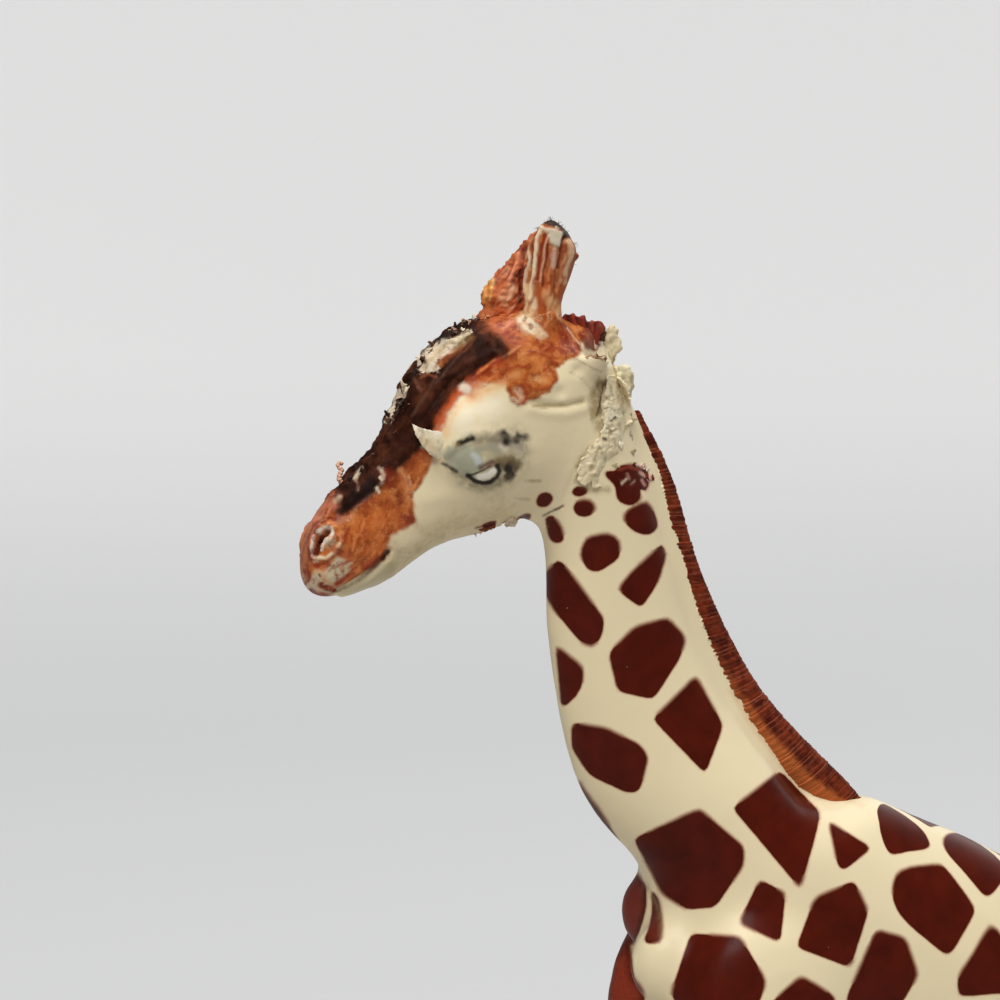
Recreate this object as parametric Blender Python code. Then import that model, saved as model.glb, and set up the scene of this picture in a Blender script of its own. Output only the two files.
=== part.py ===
"""Toy giraffe figure: a trunk moulding with head, horns, ear roots, legs and tail plugged in and glued."""

import math

import bmesh
import bpy
import numpy as np
from mathutils import Matrix, Vector

# Fit between the glued pieces
joint_gap = 0.0003
overrun = 0.002

# Trunk: the barrel is measured back from the chest and up from the ground
belly_height = 0.060
barrel_length = 0.068
barrel_depth = 0.043
barrel_width = 0.0275
rump_bulge = 0.0020

# Neck, from its root above the shoulders to the line where the head is plugged on
neck_length = 0.0446
neck_depth = 0.0186
neck_width = 0.0118
neck_lean = math.radians(22.0)

# Mane, a ridge moulded along the back of the neck
mane_height = 0.0031
mane_thickness = 0.0030

# Breast muscles on the front of the trunk, the left one lower because its leg is back
breast_length = 0.0100
breast_width = 0.0084
breast_height = 0.0110
breast_spread = 0.0084

# Plug on top of the neck, which fills a socket in the head
plug_radius = 0.0034
plug_length = 0.0060

# Head
head_length = 0.0354
head_depth = 0.0254
head_width = 0.0155
head_droop = math.radians(25.0)
nose_bulge = 0.0006
orbit_length = 0.0104
orbit_height = 0.0090
orbit_stand_out = 0.0010
nostril_length = 0.0044
nostril_height = 0.0040
nostril_stand_out = 0.0005

# Horns: the left one whole, the right one chewed down to a wide slanted stump
horn_length = 0.0102
horn_width = 0.0043
horn_lean = math.radians(9.0)
horn_splay = math.radians(7.0)
horn_spread = 0.0072
horn_root = 0.0026
stump_length = 0.0088
stump_width = 0.0064
stump_thickness = 0.0046
stump_lean = math.radians(-2.0)
stump_slant = math.radians(42.0)

# Torn roots of the ears
ear_length = 0.0034
ear_width = 0.0044
ear_thickness = 0.0022
ear_root = 0.0018

# Shoulder and haunch pads, which fill seats in the trunk and stand a little proud of it
shoulder_length = 0.0236
shoulder_height = 0.031
shoulder_thickness = 0.0115
shoulder_stand_out = 0.0016
haunch_length = 0.025
haunch_height = 0.029
haunch_thickness = 0.0110
haunch_stand_out = 0.0006

# Pegs that hold the pads, with a wall left between the left and the right ones
peg_radius = 0.0022
middle_wall = 0.0030

# Limbs and hooves. A step is how far a hoof stands behind its pad, and a stance how far apart a pair stands
foreleg_depth = 0.0125
foreleg_width = 0.0090
hind_leg_depth = 0.0135
hind_leg_width = 0.0095
hock_set = 0.0050
hoof_height = 0.0052
hoof_length = 0.0098
hoof_width = 0.0084
hoof_split = 0.0008
front_stance = 0.0200
rear_stance = 0.0190
front_left_step = 0.0040
front_right_step = -0.0120
rear_left_step = -0.0060
rear_right_step = 0.0070

# Tail
tail_length = 0.036
tail_thickness = 0.0024
tuft_thickness = 0.0044
tail_sweep = 0.0060

# Sides of the round forms
trunk_sides = 20
leg_sides = 14
horn_sides = 12
peg_sides = 16
pad_rings = 9
orbit_rings = 8
nostril_rings = 6

SIDE = Vector((0, 1, 0))
UP = Vector((0, 0, 1))
BACK = Vector((1, 0, 0))
LEFT_AND_RIGHT = ((-1, "left"), (1, "right"))

# A section's power is 2 for an ellipse, and more for a squarer outline
ROUND = 2.0


def remove_everything():
    for item in list(bpy.data.objects):
        bpy.data.objects.remove(item, do_unlink=True)


def new_collection(name, hidden):
    collection = bpy.data.collections.new(name)
    bpy.context.scene.collection.children.link(collection)
    collection.hide_render = hidden
    return collection


def plastic(name, colour, roughness):
    material = bpy.data.materials.new(name)
    material.use_nodes = True
    shader = material.node_tree.nodes["Principled BSDF"]
    shader.inputs["Base Color"].default_value = (*colour, 1)
    shader.inputs["Roughness"].default_value = roughness
    shader.inputs["Metallic"].default_value = 0
    return material


def put(name, bm, collection, material=None):
    """Makes an object of the bmesh, carried by the figure. One with no material is a cutter."""
    bmesh.ops.recalc_face_normals(bm, faces=bm.faces[:])
    mesh = bpy.data.meshes.new(name)
    bm.to_mesh(mesh)
    bm.free()
    mesh.shade_smooth()
    item = bpy.data.objects.new(name, mesh)
    collection.objects.link(item)
    item.parent = FIGURE
    if material:
        mesh.materials.append(material)
    else:
        item.hide_render = True
        item.display_type = "WIRE"
    return item


def change(item, operation, name, bm):
    """Joins another body to the item (UNION) or cuts it away (DIFFERENCE)."""
    modifier = item.modifiers.new(name, "BOOLEAN")
    modifier.operation = operation
    modifier.object = put(name, bm, CUTTERS)


def section(centre, up, side, flare=0.0, power=ROUND):
    """A closed outline: its centre, its half axes, how much wider it is on the up side, and its power."""
    return [*centre, *up, *side, flare, power]


def between(under, over, width, flare=0.0, power=ROUND):
    """A section from its lowest to its highest point in the middle plane."""
    return section((under + over) / 2, (over - under) / 2, SIDE * width / 2, flare, power)


def ribbon(path, heights, widths):
    """Sections square to a path in the middle plane: half heights in the plane, half widths across."""
    result = []
    for place, point in enumerate(path):
        way = path[min(place + 1, len(path) - 1)] - path[max(place - 1, 0)]
        up = way.cross(SIDE).normalized()
        result.append(section(point, up * heights[place], SIDE * widths[place]))
    return result


def smoothed(sections):
    """The same sections with one more between each two, on a smooth curve that passes through them all."""
    rows = np.array(sections, float)
    rows = np.vstack([2 * rows[0] - rows[1], rows, 2 * rows[-1] - rows[-2]])
    result = []
    for before, here, after, later in zip(rows, rows[1:], rows[2:], rows[3:]):
        result += [here, (9 * (here + after) - before - later) / 16]
    return result + [rows[-2]]


def domed(sections, bulge, turns=(0.4, 0.72, 0.92)):
    """The same sections and a rounded end after the last. The turns are shares of the quarter circle."""
    last = np.array(sections[-1])
    way = last[:3] - np.array(sections[-2])[:3]
    result = list(sections)
    for turn in turns:
        ring = last.copy()
        ring[:3] += way / np.linalg.norm(way) * bulge * math.sin(turn * math.pi / 2)
        ring[3:9] *= math.cos(turn * math.pi / 2)
        result.append(ring)
    return result


def grown(sections, grow):
    """The same sections, wider by grow all round and longer by it at both ends."""
    rows = [np.array(row, float) for row in sections]
    for row in rows:
        row[3:6] *= 1 + grow / np.linalg.norm(row[3:6])
        row[6:9] *= 1 + grow / np.linalg.norm(row[6:9])
    for end, inner in ((0, 1), (-1, -2)):
        way = rows[end][:3] - rows[inner][:3]
        rows[end][:3] += way / np.linalg.norm(way) * grow
    return rows


def outline(row, sides):
    """The points of one section."""
    centre, up, side, flare, power = row[:3], row[3:6], row[6:9], row[9], row[10]
    for turn in range(sides):
        c = math.cos(2 * math.pi * turn / sides)
        s = math.sin(2 * math.pi * turn / sides)
        along_up = math.copysign(abs(c) ** (2 / power), c)
        along_side = math.copysign(abs(s) ** (2 / power), s) * (1 + flare * c)
        yield centre + up * along_up + side * along_side


def loft(sections, sides, grow=0.0):
    """A closed body through the sections."""
    bm = bmesh.new()
    rings = [[bm.verts.new(point) for point in outline(row, sides)] for row in grown(sections, grow)]
    for ring, after in zip(rings, rings[1:]):
        for turn in range(sides):
            bm.faces.new((ring[turn - 1], ring[turn], after[turn], after[turn - 1]))
    bm.faces.new(reversed(rings[0]))
    bm.faces.new(rings[-1])
    return bm


def ellipsoid(centre, sizes, rings, tilt=0.0, grow=0.0):
    """A rounded lump of these full sizes (length, width, height), tilted about the side axis."""
    halves = [size / 2 + grow for size in sizes]
    place = Matrix.Translation(centre) @ Matrix.Rotation(tilt, 4, "Y") @ Matrix.Diagonal((*halves, 1))
    bm = bmesh.new()
    bmesh.ops.create_uvsphere(bm, u_segments=2 * rings, v_segments=rings, radius=1, matrix=place)
    return bm


def rod(start, end, radius, grow=0.0):
    """A round bar between two points."""
    turn = (end - start).to_track_quat("Z", "Y").to_matrix().to_4x4()
    place = Matrix.Translation((start + end) / 2) @ turn
    wide = radius + grow
    long = (end - start).length + 2 * grow
    bm = bmesh.new()
    bmesh.ops.create_cone(
        bm, cap_ends=True, segments=peg_sides, radius1=wide, radius2=wide, depth=long, matrix=place
    )
    return bm


def block(corner, opposite):
    """A box between two corners."""
    place = Matrix.Translation((corner + opposite) / 2) @ Matrix.Diagonal((*(opposite - corner), 1))
    bm = bmesh.new()
    bmesh.ops.create_cube(bm, size=1, matrix=place)
    return bm


def barrel_point(back_share, up_share):
    """A point of the middle plane: shares of the barrel's length back and of its depth above the belly."""
    return BACK * barrel_length * back_share + UP * (belly_height + barrel_depth * up_share)


neck_root_shares = (0.16, 1.03)
NECK_ROOT = barrel_point(*neck_root_shares)
NECK_UP = Vector((-math.sin(neck_lean), 0, math.cos(neck_lean)))
NECK_BACK = Vector((math.cos(neck_lean), 0, math.sin(neck_lean)))


def neck_point(up_share, back_share):
    """A point of the middle plane: shares of the neck's length above its root and of its depth back."""
    return NECK_ROOT + NECK_UP * neck_length * up_share + NECK_BACK * neck_depth * back_share


# The head line is the flat face, from throat to nape, where the head is plugged on
throat_shares = (0.80, -0.37)
nape_shares = (1.19, 0.44)
head_line_width_share = 1.08
THROAT = neck_point(*throat_shares)
NAPE = neck_point(*nape_shares)
HEAD_ROOT = (THROAT + NAPE) / 2
HEAD_LINE = (NAPE - THROAT).normalized()
HEAD_NORMAL = Vector((-HEAD_LINE.z, 0, HEAD_LINE.x))
HEAD_FORWARD = Vector((-math.cos(head_droop), 0, -math.sin(head_droop)))
HEAD_UP = Vector((-math.sin(head_droop), 0, math.cos(head_droop)))


def head_point(forward_share, up_share):
    """A point of the middle plane: shares of the head's length before the head line and of its depth up."""
    return HEAD_ROOT + HEAD_FORWARD * head_length * forward_share + HEAD_UP * head_depth * up_share


# Neck, top to bottom: under point (up, back), over point (up, back), width
neck_shares = (
    (0.74, -0.39, 0.93, 0.38, 0.98),
    (0.65, -0.465, 0.80, 0.385, 0.94),
    (0.55, -0.565, 0.63, 0.36, 0.94),
    (0.40, -0.655, 0.43, 0.34, 0.99),
    (0.25, -0.725, 0.27, 0.38, 1.09),
    (0.10, -0.74, 0.14, 0.44, 1.25),
    (-0.03, -0.66, 0.01, 0.56, 1.50),
)

# Barrel, front to back: under point (back, up), over point (back, up), width
barrel_shares = (
    (0.065, 0.77, 0.36, 1.01, 0.74),
    (0.06, 0.57, 0.46, 0.97, 0.84),
    (0.10, 0.33, 0.56, 0.91, 0.92),
    (0.21, 0.14, 0.66, 0.85, 0.97),
    (0.37, 0.02, 0.75, 0.78, 1.00),
    (0.54, 0.03, 0.84, 0.70, 0.98),
    (0.70, 0.11, 0.91, 0.62, 0.90),
    (0.84, 0.20, 0.96, 0.54, 0.74),
    (0.93, 0.28, 0.99, 0.46, 0.48),
)

# Head, back to nose: under point (forward, up), over point (forward, up), width, flare, power
head_shares = (
    (0.29, -0.235, -0.19, 0.450, 0.90, 0.06, 2.1),
    (0.37, -0.235, -0.06, 0.530, 0.98, 0.12, 2.2),
    (0.45, -0.215, 0.07, 0.640, 1.00, 0.16, 2.3),
    (0.52, -0.195, 0.22, 0.670, 0.95, 0.18, 2.4),
    (0.59, -0.185, 0.36, 0.615, 0.83, 0.16, 2.4),
    (0.67, -0.200, 0.46, 0.525, 0.71, 0.12, 2.4),
    (0.75, -0.222, 0.56, 0.405, 0.62, 0.08, 2.3),
    (0.82, -0.225, 0.655, 0.325, 0.58, 0.04, 2.3),
    (0.88, -0.205, 0.73, 0.290, 0.57, 0.02, 2.3),
    (0.94, -0.180, 0.815, 0.235, 0.57, 0.00, 2.3),
    (0.99, -0.155, 0.895, 0.175, 0.52, 0.00, 2.2),
    (1.01, -0.110, 0.955, 0.095, 0.40, 0.00, 2.0),
)


def head_line_section(step):
    """The flat face's outline, moved towards the head by step."""
    moved = HEAD_NORMAL * step
    return between(THROAT + moved, NAPE + moved, neck_width * head_line_width_share)


def trunk_sections():
    rows = [head_line_section(0)]
    for a, b, c, d, width in neck_shares:
        rows.append(between(neck_point(a, b), neck_point(c, d), neck_width * width))
    for a, b, c, d, width in barrel_shares:
        rows.append(between(barrel_point(a, b), barrel_point(c, d), barrel_width * width))
    return rows


# Mane, nape to withers, along the over points of the trunk's sections: height and thickness
mane_shares = (
    (0.40, 0.60),
    (0.75, 0.80),
    (0.85, 0.85),
    (0.95, 0.90),
    (1.00, 1.00),
    (1.02, 1.10),
    (1.12, 1.25),
    (1.30, 1.20),
    (1.10, 1.00),
    (0.30, 0.50),
)
mane_start_share = 0.4
mane_end_share = 0.6


def mane():
    rows = trunk_sections()[: len(mane_shares)]
    path = [Vector(row[:3]) + Vector(row[3:6]) for row in rows]
    path[0] = path[0].lerp(path[1], mane_start_share)
    path[-1] = path[-2].lerp(path[-1], mane_end_share)
    heights = [mane_height * height for height, thickness in mane_shares]
    widths = [mane_thickness / 2 * thickness for height, thickness in mane_shares]
    return loft(smoothed(ribbon(path, heights, widths)), horn_sides)


def plug(grow=0.0):
    return rod(HEAD_ROOT - HEAD_NORMAL * overrun, HEAD_ROOT + HEAD_NORMAL * plug_length, plug_radius, grow)


# Horn, root to tip: height along the root (under 0) or the horn, and width
horn_shares = ((-1.0, 0.80), (0.0, 1.05), (0.22, 0.92), (0.55, 0.86), (0.80, 0.96), (0.93, 0.90), (1.0, 0.55))
horn_foot_shares = (-0.05, 0.60)
stump_foot_shares = (-0.01, 0.60)
stump_cut_share = 0.72


def upright_horn(width, thickness, length, grow):
    """A horn along +Z, with its foot at the origin and its root below."""
    rows = []
    for height, share in horn_shares:
        top = length * height if height > 0 else horn_root * height
        rows.append(section(UP * top, BACK * width / 2 * share, SIDE * thickness / 2 * share))
    return loft(smoothed(rows), horn_sides, grow)


def chewed_off(bm):
    """Cuts the horn at a slant, low at the front, and closes the cut."""
    normal = Vector((-math.sin(stump_slant), 0, math.cos(stump_slant)))
    geometry = bm.verts[:] + bm.edges[:] + bm.faces[:]
    place = UP * stump_length * stump_cut_share
    bmesh.ops.bisect_plane(bm, geom=geometry, plane_co=place, plane_no=normal, clear_outer=True)
    bmesh.ops.holes_fill(bm, edges=[edge for edge in bm.edges if edge.is_boundary])


def horn(side, grow=0.0):
    if side < 0:
        bm = upright_horn(horn_width, horn_width, horn_length, grow)
        foot = head_point(*horn_foot_shares)
        lean = horn_lean
    else:
        bm = upright_horn(stump_width, stump_thickness, stump_length, grow)
        chewed_off(bm)
        foot = head_point(*stump_foot_shares)
        lean = stump_lean
    turn = Matrix.Rotation(lean, 4, "Y") @ Matrix.Rotation(-side * horn_splay, 4, "X")
    place = Matrix.Translation(foot + SIDE * side * horn_spread / 2) @ turn
    bmesh.ops.transform(bm, matrix=place, verts=bm.verts)
    return bm


# Ear root: where it stands on the skull, how far out, and its widths from inside to the torn edge
ear_foot_shares = (-0.08, 0.26)
ear_out_share = 0.42
ear_root_width_share = 0.8
ear_middle_width_share = 0.95
ear_torn_width_share = 0.55
EAR_SLANT = Vector((0.30, 0.80, 0.52)).normalized()


def ear(side, grow=0.0):
    """The flat root of an ear that was torn off, slanting out and back."""
    way = Vector((EAR_SLANT.x, EAR_SLANT.y * side, EAR_SLANT.z))
    flat = BACK.cross(way).normalized()
    wide = flat.cross(way)
    foot = head_point(*ear_foot_shares) + SIDE * side * neck_width * ear_out_share
    reaches = (-ear_root, 0, ear_length / 2, ear_length)
    widths = (ear_root_width_share, 1, ear_middle_width_share, ear_torn_width_share)
    rows = []
    for reach, share in zip(reaches, widths):
        half_width = wide * ear_width / 2 * share
        half_thickness = flat * ear_thickness / 2 * share
        rows.append(section(foot + way * reach, half_width, half_thickness))
    return loft(rows, horn_sides, grow)


class Leg:
    """Where a leg stands and how big it is."""

    shoulder_shares = (0.235, 0.36)
    haunch_shares = (0.80, 0.30)
    pad_step_share = 0.06
    limb_top_share = 0.25

    def __init__(self, name, side, front, step):
        self.name = name
        self.side = side
        self.front = front
        self.step = step
        if front:
            self.pad = (shoulder_length, shoulder_thickness, shoulder_height)
            middle = barrel_point(*self.shoulder_shares)
            stand_out = shoulder_stand_out
        else:
            self.pad = (haunch_length, haunch_thickness, haunch_height)
            middle = barrel_point(*self.haunch_shares)
            stand_out = haunch_stand_out
        self.depth = foreleg_depth if front else hind_leg_depth
        self.width = foreleg_width if front else hind_leg_width
        self.stance = front_stance if front else rear_stance
        out = (barrel_width - self.pad[1]) / 2 + stand_out
        self.pad_centre = middle + SIDE * side * out + BACK * step * self.pad_step_share
        self.top = self.pad_centre.z - self.pad[2] * self.limb_top_share
        self.tilt = -step / self.top


# Limbs, top to fetlock: height, share of the step, share of the hock's set-back, depth, width
foreleg_shares = (
    (1.00, 0.00, 0.0, 1.00, 1.00),
    (0.87, 0.08, 0.1, 0.90, 0.92),
    (0.75, 0.20, 0.1, 0.72, 0.80),
    (0.63, 0.34, 0.0, 0.56, 0.68),
    (0.55, 0.44, -0.1, 0.55, 0.68),
    (0.50, 0.50, -0.1, 0.56, 0.70),
    (0.44, 0.57, 0.0, 0.46, 0.60),
    (0.30, 0.73, 0.0, 0.36, 0.48),
    (0.19, 0.86, 0.1, 0.37, 0.49),
    (0.135, 0.93, 0.1, 0.46, 0.58),
)
hind_leg_shares = (
    (1.00, 0.00, 0.0, 1.00, 1.00),
    (0.87, 0.06, 0.0, 0.92, 0.90),
    (0.75, 0.16, 0.1, 0.72, 0.74),
    (0.64, 0.30, 0.5, 0.54, 0.62),
    (0.55, 0.42, 0.9, 0.50, 0.60),
    (0.49, 0.50, 1.0, 0.48, 0.60),
    (0.42, 0.58, 0.9, 0.40, 0.52),
    (0.30, 0.73, 0.6, 0.34, 0.46),
    (0.19, 0.86, 0.3, 0.35, 0.47),
    (0.135, 0.93, 0.2, 0.43, 0.55),
)

# Hoof, top to sole: height, set-back of its middle, length, width
hoof_shares = ((1.0, 0.0, 0.70, 0.78), (0.0, -0.06, 1.0, 1.0))
hoof_power = 2.4
split_length_share = 0.30


def leg_sections(leg):
    foot = leg.pad_centre + BACK * leg.step
    foot.y = leg.side * leg.stance / 2
    rows = []
    for height, swing, hock, depth, width in foreleg_shares if leg.front else hind_leg_shares:
        centre = leg.pad_centre.lerp(foot, swing) + BACK * hock_set * hock
        centre.z = leg.top * height
        rows.append(section(centre, -BACK * leg.depth / 2 * depth, SIDE * leg.width / 2 * width))
    rows = smoothed(rows)
    for height, set_back, length, width in hoof_shares:
        centre = foot + BACK * hoof_length * set_back
        centre.z = hoof_height * height
        half_length = -BACK * hoof_length / 2 * length
        half_width = SIDE * hoof_width / 2 * width
        rows.append(section(centre, half_length, half_width, 0, hoof_power))
    return rows


def leg_bodies(leg, grow=0.0):
    """The limb, its pad and the peg that goes into the trunk."""
    inner = leg.pad_centre.copy()
    inner.y -= leg.side * (leg.pad[1] / 2 - overrun)
    tip = inner.copy()
    tip.y = leg.side * middle_wall / 2
    return {
        "limb": loft(leg_sections(leg), leg_sides, grow),
        "pad": ellipsoid(leg.pad_centre, leg.pad, pad_rings, leg.tilt, grow),
        "peg": rod(inner, tip, peg_radius, grow),
    }


def make_leg(leg):
    bodies = leg_bodies(leg)
    item = put(leg.name, bodies.pop("limb"), PARTS, CREAM)
    for name, bm in bodies.items():
        change(item, "UNION", f"{leg.name}_{name}", bm)
    toe = Vector(leg_sections(leg)[-1][:3]) - BACK * (hoof_length / 2 + overrun)
    corner = toe - SIDE * hoof_split / 2 - UP * overrun
    opposite = toe + SIDE * hoof_split / 2 + UP * hoof_height
    opposite.x += overrun + hoof_length * split_length_share
    change(item, "DIFFERENCE", f"{leg.name}_split", block(corner, opposite))


# Tail, root to tip: share of the sweep behind the rump, share of the length down, thickness, tuft
tail_root_shares = (0.985, 0.50)
tail_shares = (
    (-0.50, 0.000, 1.00, 0.00),
    (0.00, 0.000, 1.00, 0.00),
    (0.45, 0.012, 1.00, 0.00),
    (0.80, 0.065, 1.00, 0.00),
    (0.98, 0.160, 0.95, 0.00),
    (1.05, 0.300, 0.90, 0.00),
    (1.05, 0.460, 0.84, 0.00),
    (1.02, 0.620, 0.86, 0.00),
    (1.00, 0.720, 0.00, 0.72),
    (1.00, 0.840, 0.00, 1.00),
    (1.02, 0.940, 0.00, 0.72),
    (1.05, 1.000, 0.00, 0.25),
)


def tail(grow=0.0):
    root = barrel_point(*tail_root_shares)
    path = []
    halves = []
    for back, down, thin, tuft in tail_shares:
        path.append(root + BACK * tail_sweep * back - UP * tail_length * down)
        halves.append((tail_thickness * thin + tuft_thickness * tuft) / 2)
    return loft(smoothed(ribbon(path, halves, halves)), horn_sides, grow)


left_breast_shares = (0.085, 0.55)
right_breast_shares = (0.115, 0.65)


def make_trunk(legs):
    item = put("trunk", loft(domed(smoothed(trunk_sections()), rump_bulge), trunk_sides), PARTS, CREAM)
    for (side, name), shares in zip(LEFT_AND_RIGHT, (left_breast_shares, right_breast_shares)):
        place = barrel_point(*shares) + SIDE * side * breast_spread / 2
        lump = ellipsoid(place, (breast_length, breast_width, breast_height), pad_rings)
        change(item, "UNION", f"{name}_breast", lump)
    change(item, "UNION", "mane", mane())
    change(item, "UNION", "neck_plug", plug())
    for leg in legs:
        for name, bm in leg_bodies(leg, joint_gap).items():
            change(item, "DIFFERENCE", f"{leg.name}_{name}_seat", bm)
    change(item, "DIFFERENCE", "tail_seat", tail(joint_gap))


eye_shares = (0.365, 0.17)
eye_out_share = 0.86
orbit_bury_share = 0.14
nostril_shares = (0.875, 0.055)
nostril_out_share = 0.47


def make_head():
    rows = [head_line_section(joint_gap)]
    for a, b, c, d, width, flare, power in head_shares:
        rows.append(between(head_point(a, b), head_point(c, d), head_width * width, flare, power))
    item = put("head", loft(domed(smoothed(rows), nose_bulge), trunk_sides), PARTS, CREAM)
    for side, name in LEFT_AND_RIGHT:
        out = SIDE * side * head_width / 2
        thick = head_width * orbit_bury_share + 2 * orbit_stand_out
        orbit = (orbit_length, thick, orbit_height)
        eye = head_point(*eye_shares) + out * eye_out_share
        change(item, "UNION", f"{name}_orbit", ellipsoid(eye, orbit, orbit_rings, head_droop))
        nose = (nostril_length, 4 * nostril_stand_out, nostril_height)
        nostril = head_point(*nostril_shares) + out * nostril_out_share
        change(item, "UNION", f"{name}_nostril", ellipsoid(nostril, nose, nostril_rings, head_droop))
        change(item, "DIFFERENCE", f"{name}_horn_seat", horn(side, joint_gap))
        change(item, "DIFFERENCE", f"{name}_ear_seat", ear(side, joint_gap))
    change(item, "DIFFERENCE", "plug_socket", plug(joint_gap))


def stand_on_ground(figure):
    """Moves the figure so that its origin is under the middle of its box, at the level of the soles."""
    bpy.context.view_layer.update()
    graph = bpy.context.evaluated_depsgraph_get()
    corners = []
    for item in PARTS.objects:
        shown = item.evaluated_get(graph)
        corners += [shown.matrix_world @ vertex.co for vertex in shown.data.vertices]
    low = Vector(map(min, zip(*corners)))
    high = Vector(map(max, zip(*corners)))
    figure.location = (-(low.x + high.x) / 2, -(low.y + high.y) / 2, -low.z)


remove_everything()
PARTS = new_collection("toy_giraffe", False)
CUTTERS = new_collection("cutters", True)
FIGURE = bpy.data.objects.new("figure", None)
CUTTERS.objects.link(FIGURE)
CREAM = plastic("cream_plastic", (0.72, 0.65, 0.47), 0.42)
HORN_BROWN = plastic("horn_brown", (0.40, 0.14, 0.05), 0.45)
TORN = plastic("torn_plastic", (0.76, 0.70, 0.52), 0.6)
DARK = plastic("dark_brown", (0.10, 0.02, 0.01), 0.45)

LEGS = [
    Leg("front_left_leg", -1, True, front_left_step),
    Leg("front_right_leg", 1, True, front_right_step),
    Leg("rear_left_leg", -1, False, rear_left_step),
    Leg("rear_right_leg", 1, False, rear_right_step),
]
make_trunk(LEGS)
make_head()
for each in LEGS:
    make_leg(each)
for side, name in LEFT_AND_RIGHT:
    put(f"{name}_horn", horn(side), PARTS, HORN_BROWN)
    put(f"{name}_ear", ear(side), PARTS, TORN)
put("tail", tail(), PARTS, DARK)
stand_on_ground(FIGURE)
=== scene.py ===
# %% [markdown]
# # A chewed toy giraffe
# The figure is soft plastic, painted, and badly gnawed about the head.
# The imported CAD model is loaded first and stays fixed, because every visible piece is fitted to its solids.

# %% Load the frame
import math
import random

import bmesh
import bpy
import numpy as np
from mathutils import Matrix, Vector
from mathutils.bvhtree import BVHTree
from numpy.linalg import norm


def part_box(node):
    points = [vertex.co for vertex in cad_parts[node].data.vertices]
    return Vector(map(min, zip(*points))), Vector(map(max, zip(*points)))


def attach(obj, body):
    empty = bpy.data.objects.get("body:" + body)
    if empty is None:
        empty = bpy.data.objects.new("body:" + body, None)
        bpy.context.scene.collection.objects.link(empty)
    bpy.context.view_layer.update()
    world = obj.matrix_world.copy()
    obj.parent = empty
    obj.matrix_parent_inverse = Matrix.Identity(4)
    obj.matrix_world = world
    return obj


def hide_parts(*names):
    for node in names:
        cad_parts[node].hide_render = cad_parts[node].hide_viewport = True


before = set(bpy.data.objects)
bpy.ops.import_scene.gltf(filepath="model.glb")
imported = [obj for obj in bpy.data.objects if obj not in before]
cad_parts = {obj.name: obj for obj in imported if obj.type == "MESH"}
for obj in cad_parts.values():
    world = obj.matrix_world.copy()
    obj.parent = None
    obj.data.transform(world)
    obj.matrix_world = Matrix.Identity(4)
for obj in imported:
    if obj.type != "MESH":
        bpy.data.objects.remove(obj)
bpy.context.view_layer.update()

MM = 0.001

# %% [markdown]
# ## The camera
# The picture is taken close by, a little from the front and almost level, so the near side shows in perspective.
# The lens direction and distance are kept as numbers too, because the paint is drawn through the same lens.

# %% Place the camera
IMAGE_SIDE = 1000
SENSOR = 36.0
LENS = 75.13
FOCAL_PIXELS = LENS / SENSOR * IMAGE_SIDE
AZIMUTH = math.radians(-18)
ELEVATION = math.radians(2)
LOOK_AT = np.array((-32.96, 0, 138.0))
VIEW_DISTANCE = 240.0
TO_LENS = np.array(
    (math.sin(AZIMUTH) * math.cos(ELEVATION), -math.cos(AZIMUTH) * math.cos(ELEVATION), math.sin(ELEVATION))
)
LENS_RIGHT = np.array((math.cos(AZIMUTH), math.sin(AZIMUTH), 0))
LENS_UP = np.cross(TO_LENS, LENS_RIGHT)
LENS_PLACE = LOOK_AT + TO_LENS * VIEW_DISTANCE

camera = bpy.data.objects.new("camera", bpy.data.cameras.new("camera"))
camera.data.lens = LENS
camera.data.sensor_width = SENSOR
camera.data.clip_start = 0.01
camera.data.clip_end = 20
camera.location = Vector(LENS_PLACE) * MM
camera.rotation_mode = "QUATERNION"
camera.rotation_quaternion = Vector(-TO_LENS).to_track_quat("-Z", "Y")
bpy.context.scene.collection.objects.link(camera)
bpy.context.scene.camera = camera
bpy.context.scene.view_settings.view_transform = "Standard"


# %% From millimetres to the picture and back
def to_picture(points):
    """Where points in mm fall in the picture, in pixels from its top left corner."""
    offset = np.asarray(points, float) - LENS_PLACE
    depth = -(offset @ TO_LENS)
    across = IMAGE_SIDE / 2 + FOCAL_PIXELS * (offset @ LENS_RIGHT) / depth
    return np.stack([across, IMAGE_SIDE / 2 - FOCAL_PIXELS * (offset @ LENS_UP) / depth], axis=1)


def sight_line(place):
    """The direction from the lens through a place in the picture."""
    across = (place[0] - IMAGE_SIDE / 2) / FOCAL_PIXELS
    up = (IMAGE_SIDE / 2 - place[1]) / FOCAL_PIXELS
    way = LENS_RIGHT * across + LENS_UP * up - TO_LENS
    return way / norm(way)


# %% [markdown]
# ## Tools for materials
# Every material is built from the same few nodes, so each of them has a short helper.
# Colours are laid one over the other through masks, as coats of paint are.

# %% Small helpers for node trees
def feed(tree, node, inputs):
    """Gives a node's own sockets their links or constants."""
    for socket, value in inputs.items():
        if isinstance(value, bpy.types.NodeSocket):
            tree.links.new(value, node.inputs[socket])
        else:
            node.inputs[socket].default_value = value


def add_node(tree, kind, inputs=None, **settings):
    made = tree.nodes.new(kind)
    for name, value in settings.items():
        setattr(made, name, value)
    feed(tree, made, inputs or {})
    return made


def maths(tree, operation, first, second=0.0, third=0.0):
    made = add_node(tree, "ShaderNodeMath", {0: first, 1: second, 2: third}, operation=operation)
    return made.outputs[0]


def tinted(tree, below, above, *masks):
    """The colour above where the masks, multiplied together, are 1, and the colour below where they are 0."""
    mask = masks[0]
    for other in masks[1:]:
        mask = maths(tree, "MULTIPLY", mask, other)
    return add_node(tree, "ShaderNodeMix", {0: mask, 6: below, 7: above}, data_type="RGBA").outputs[2]


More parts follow.
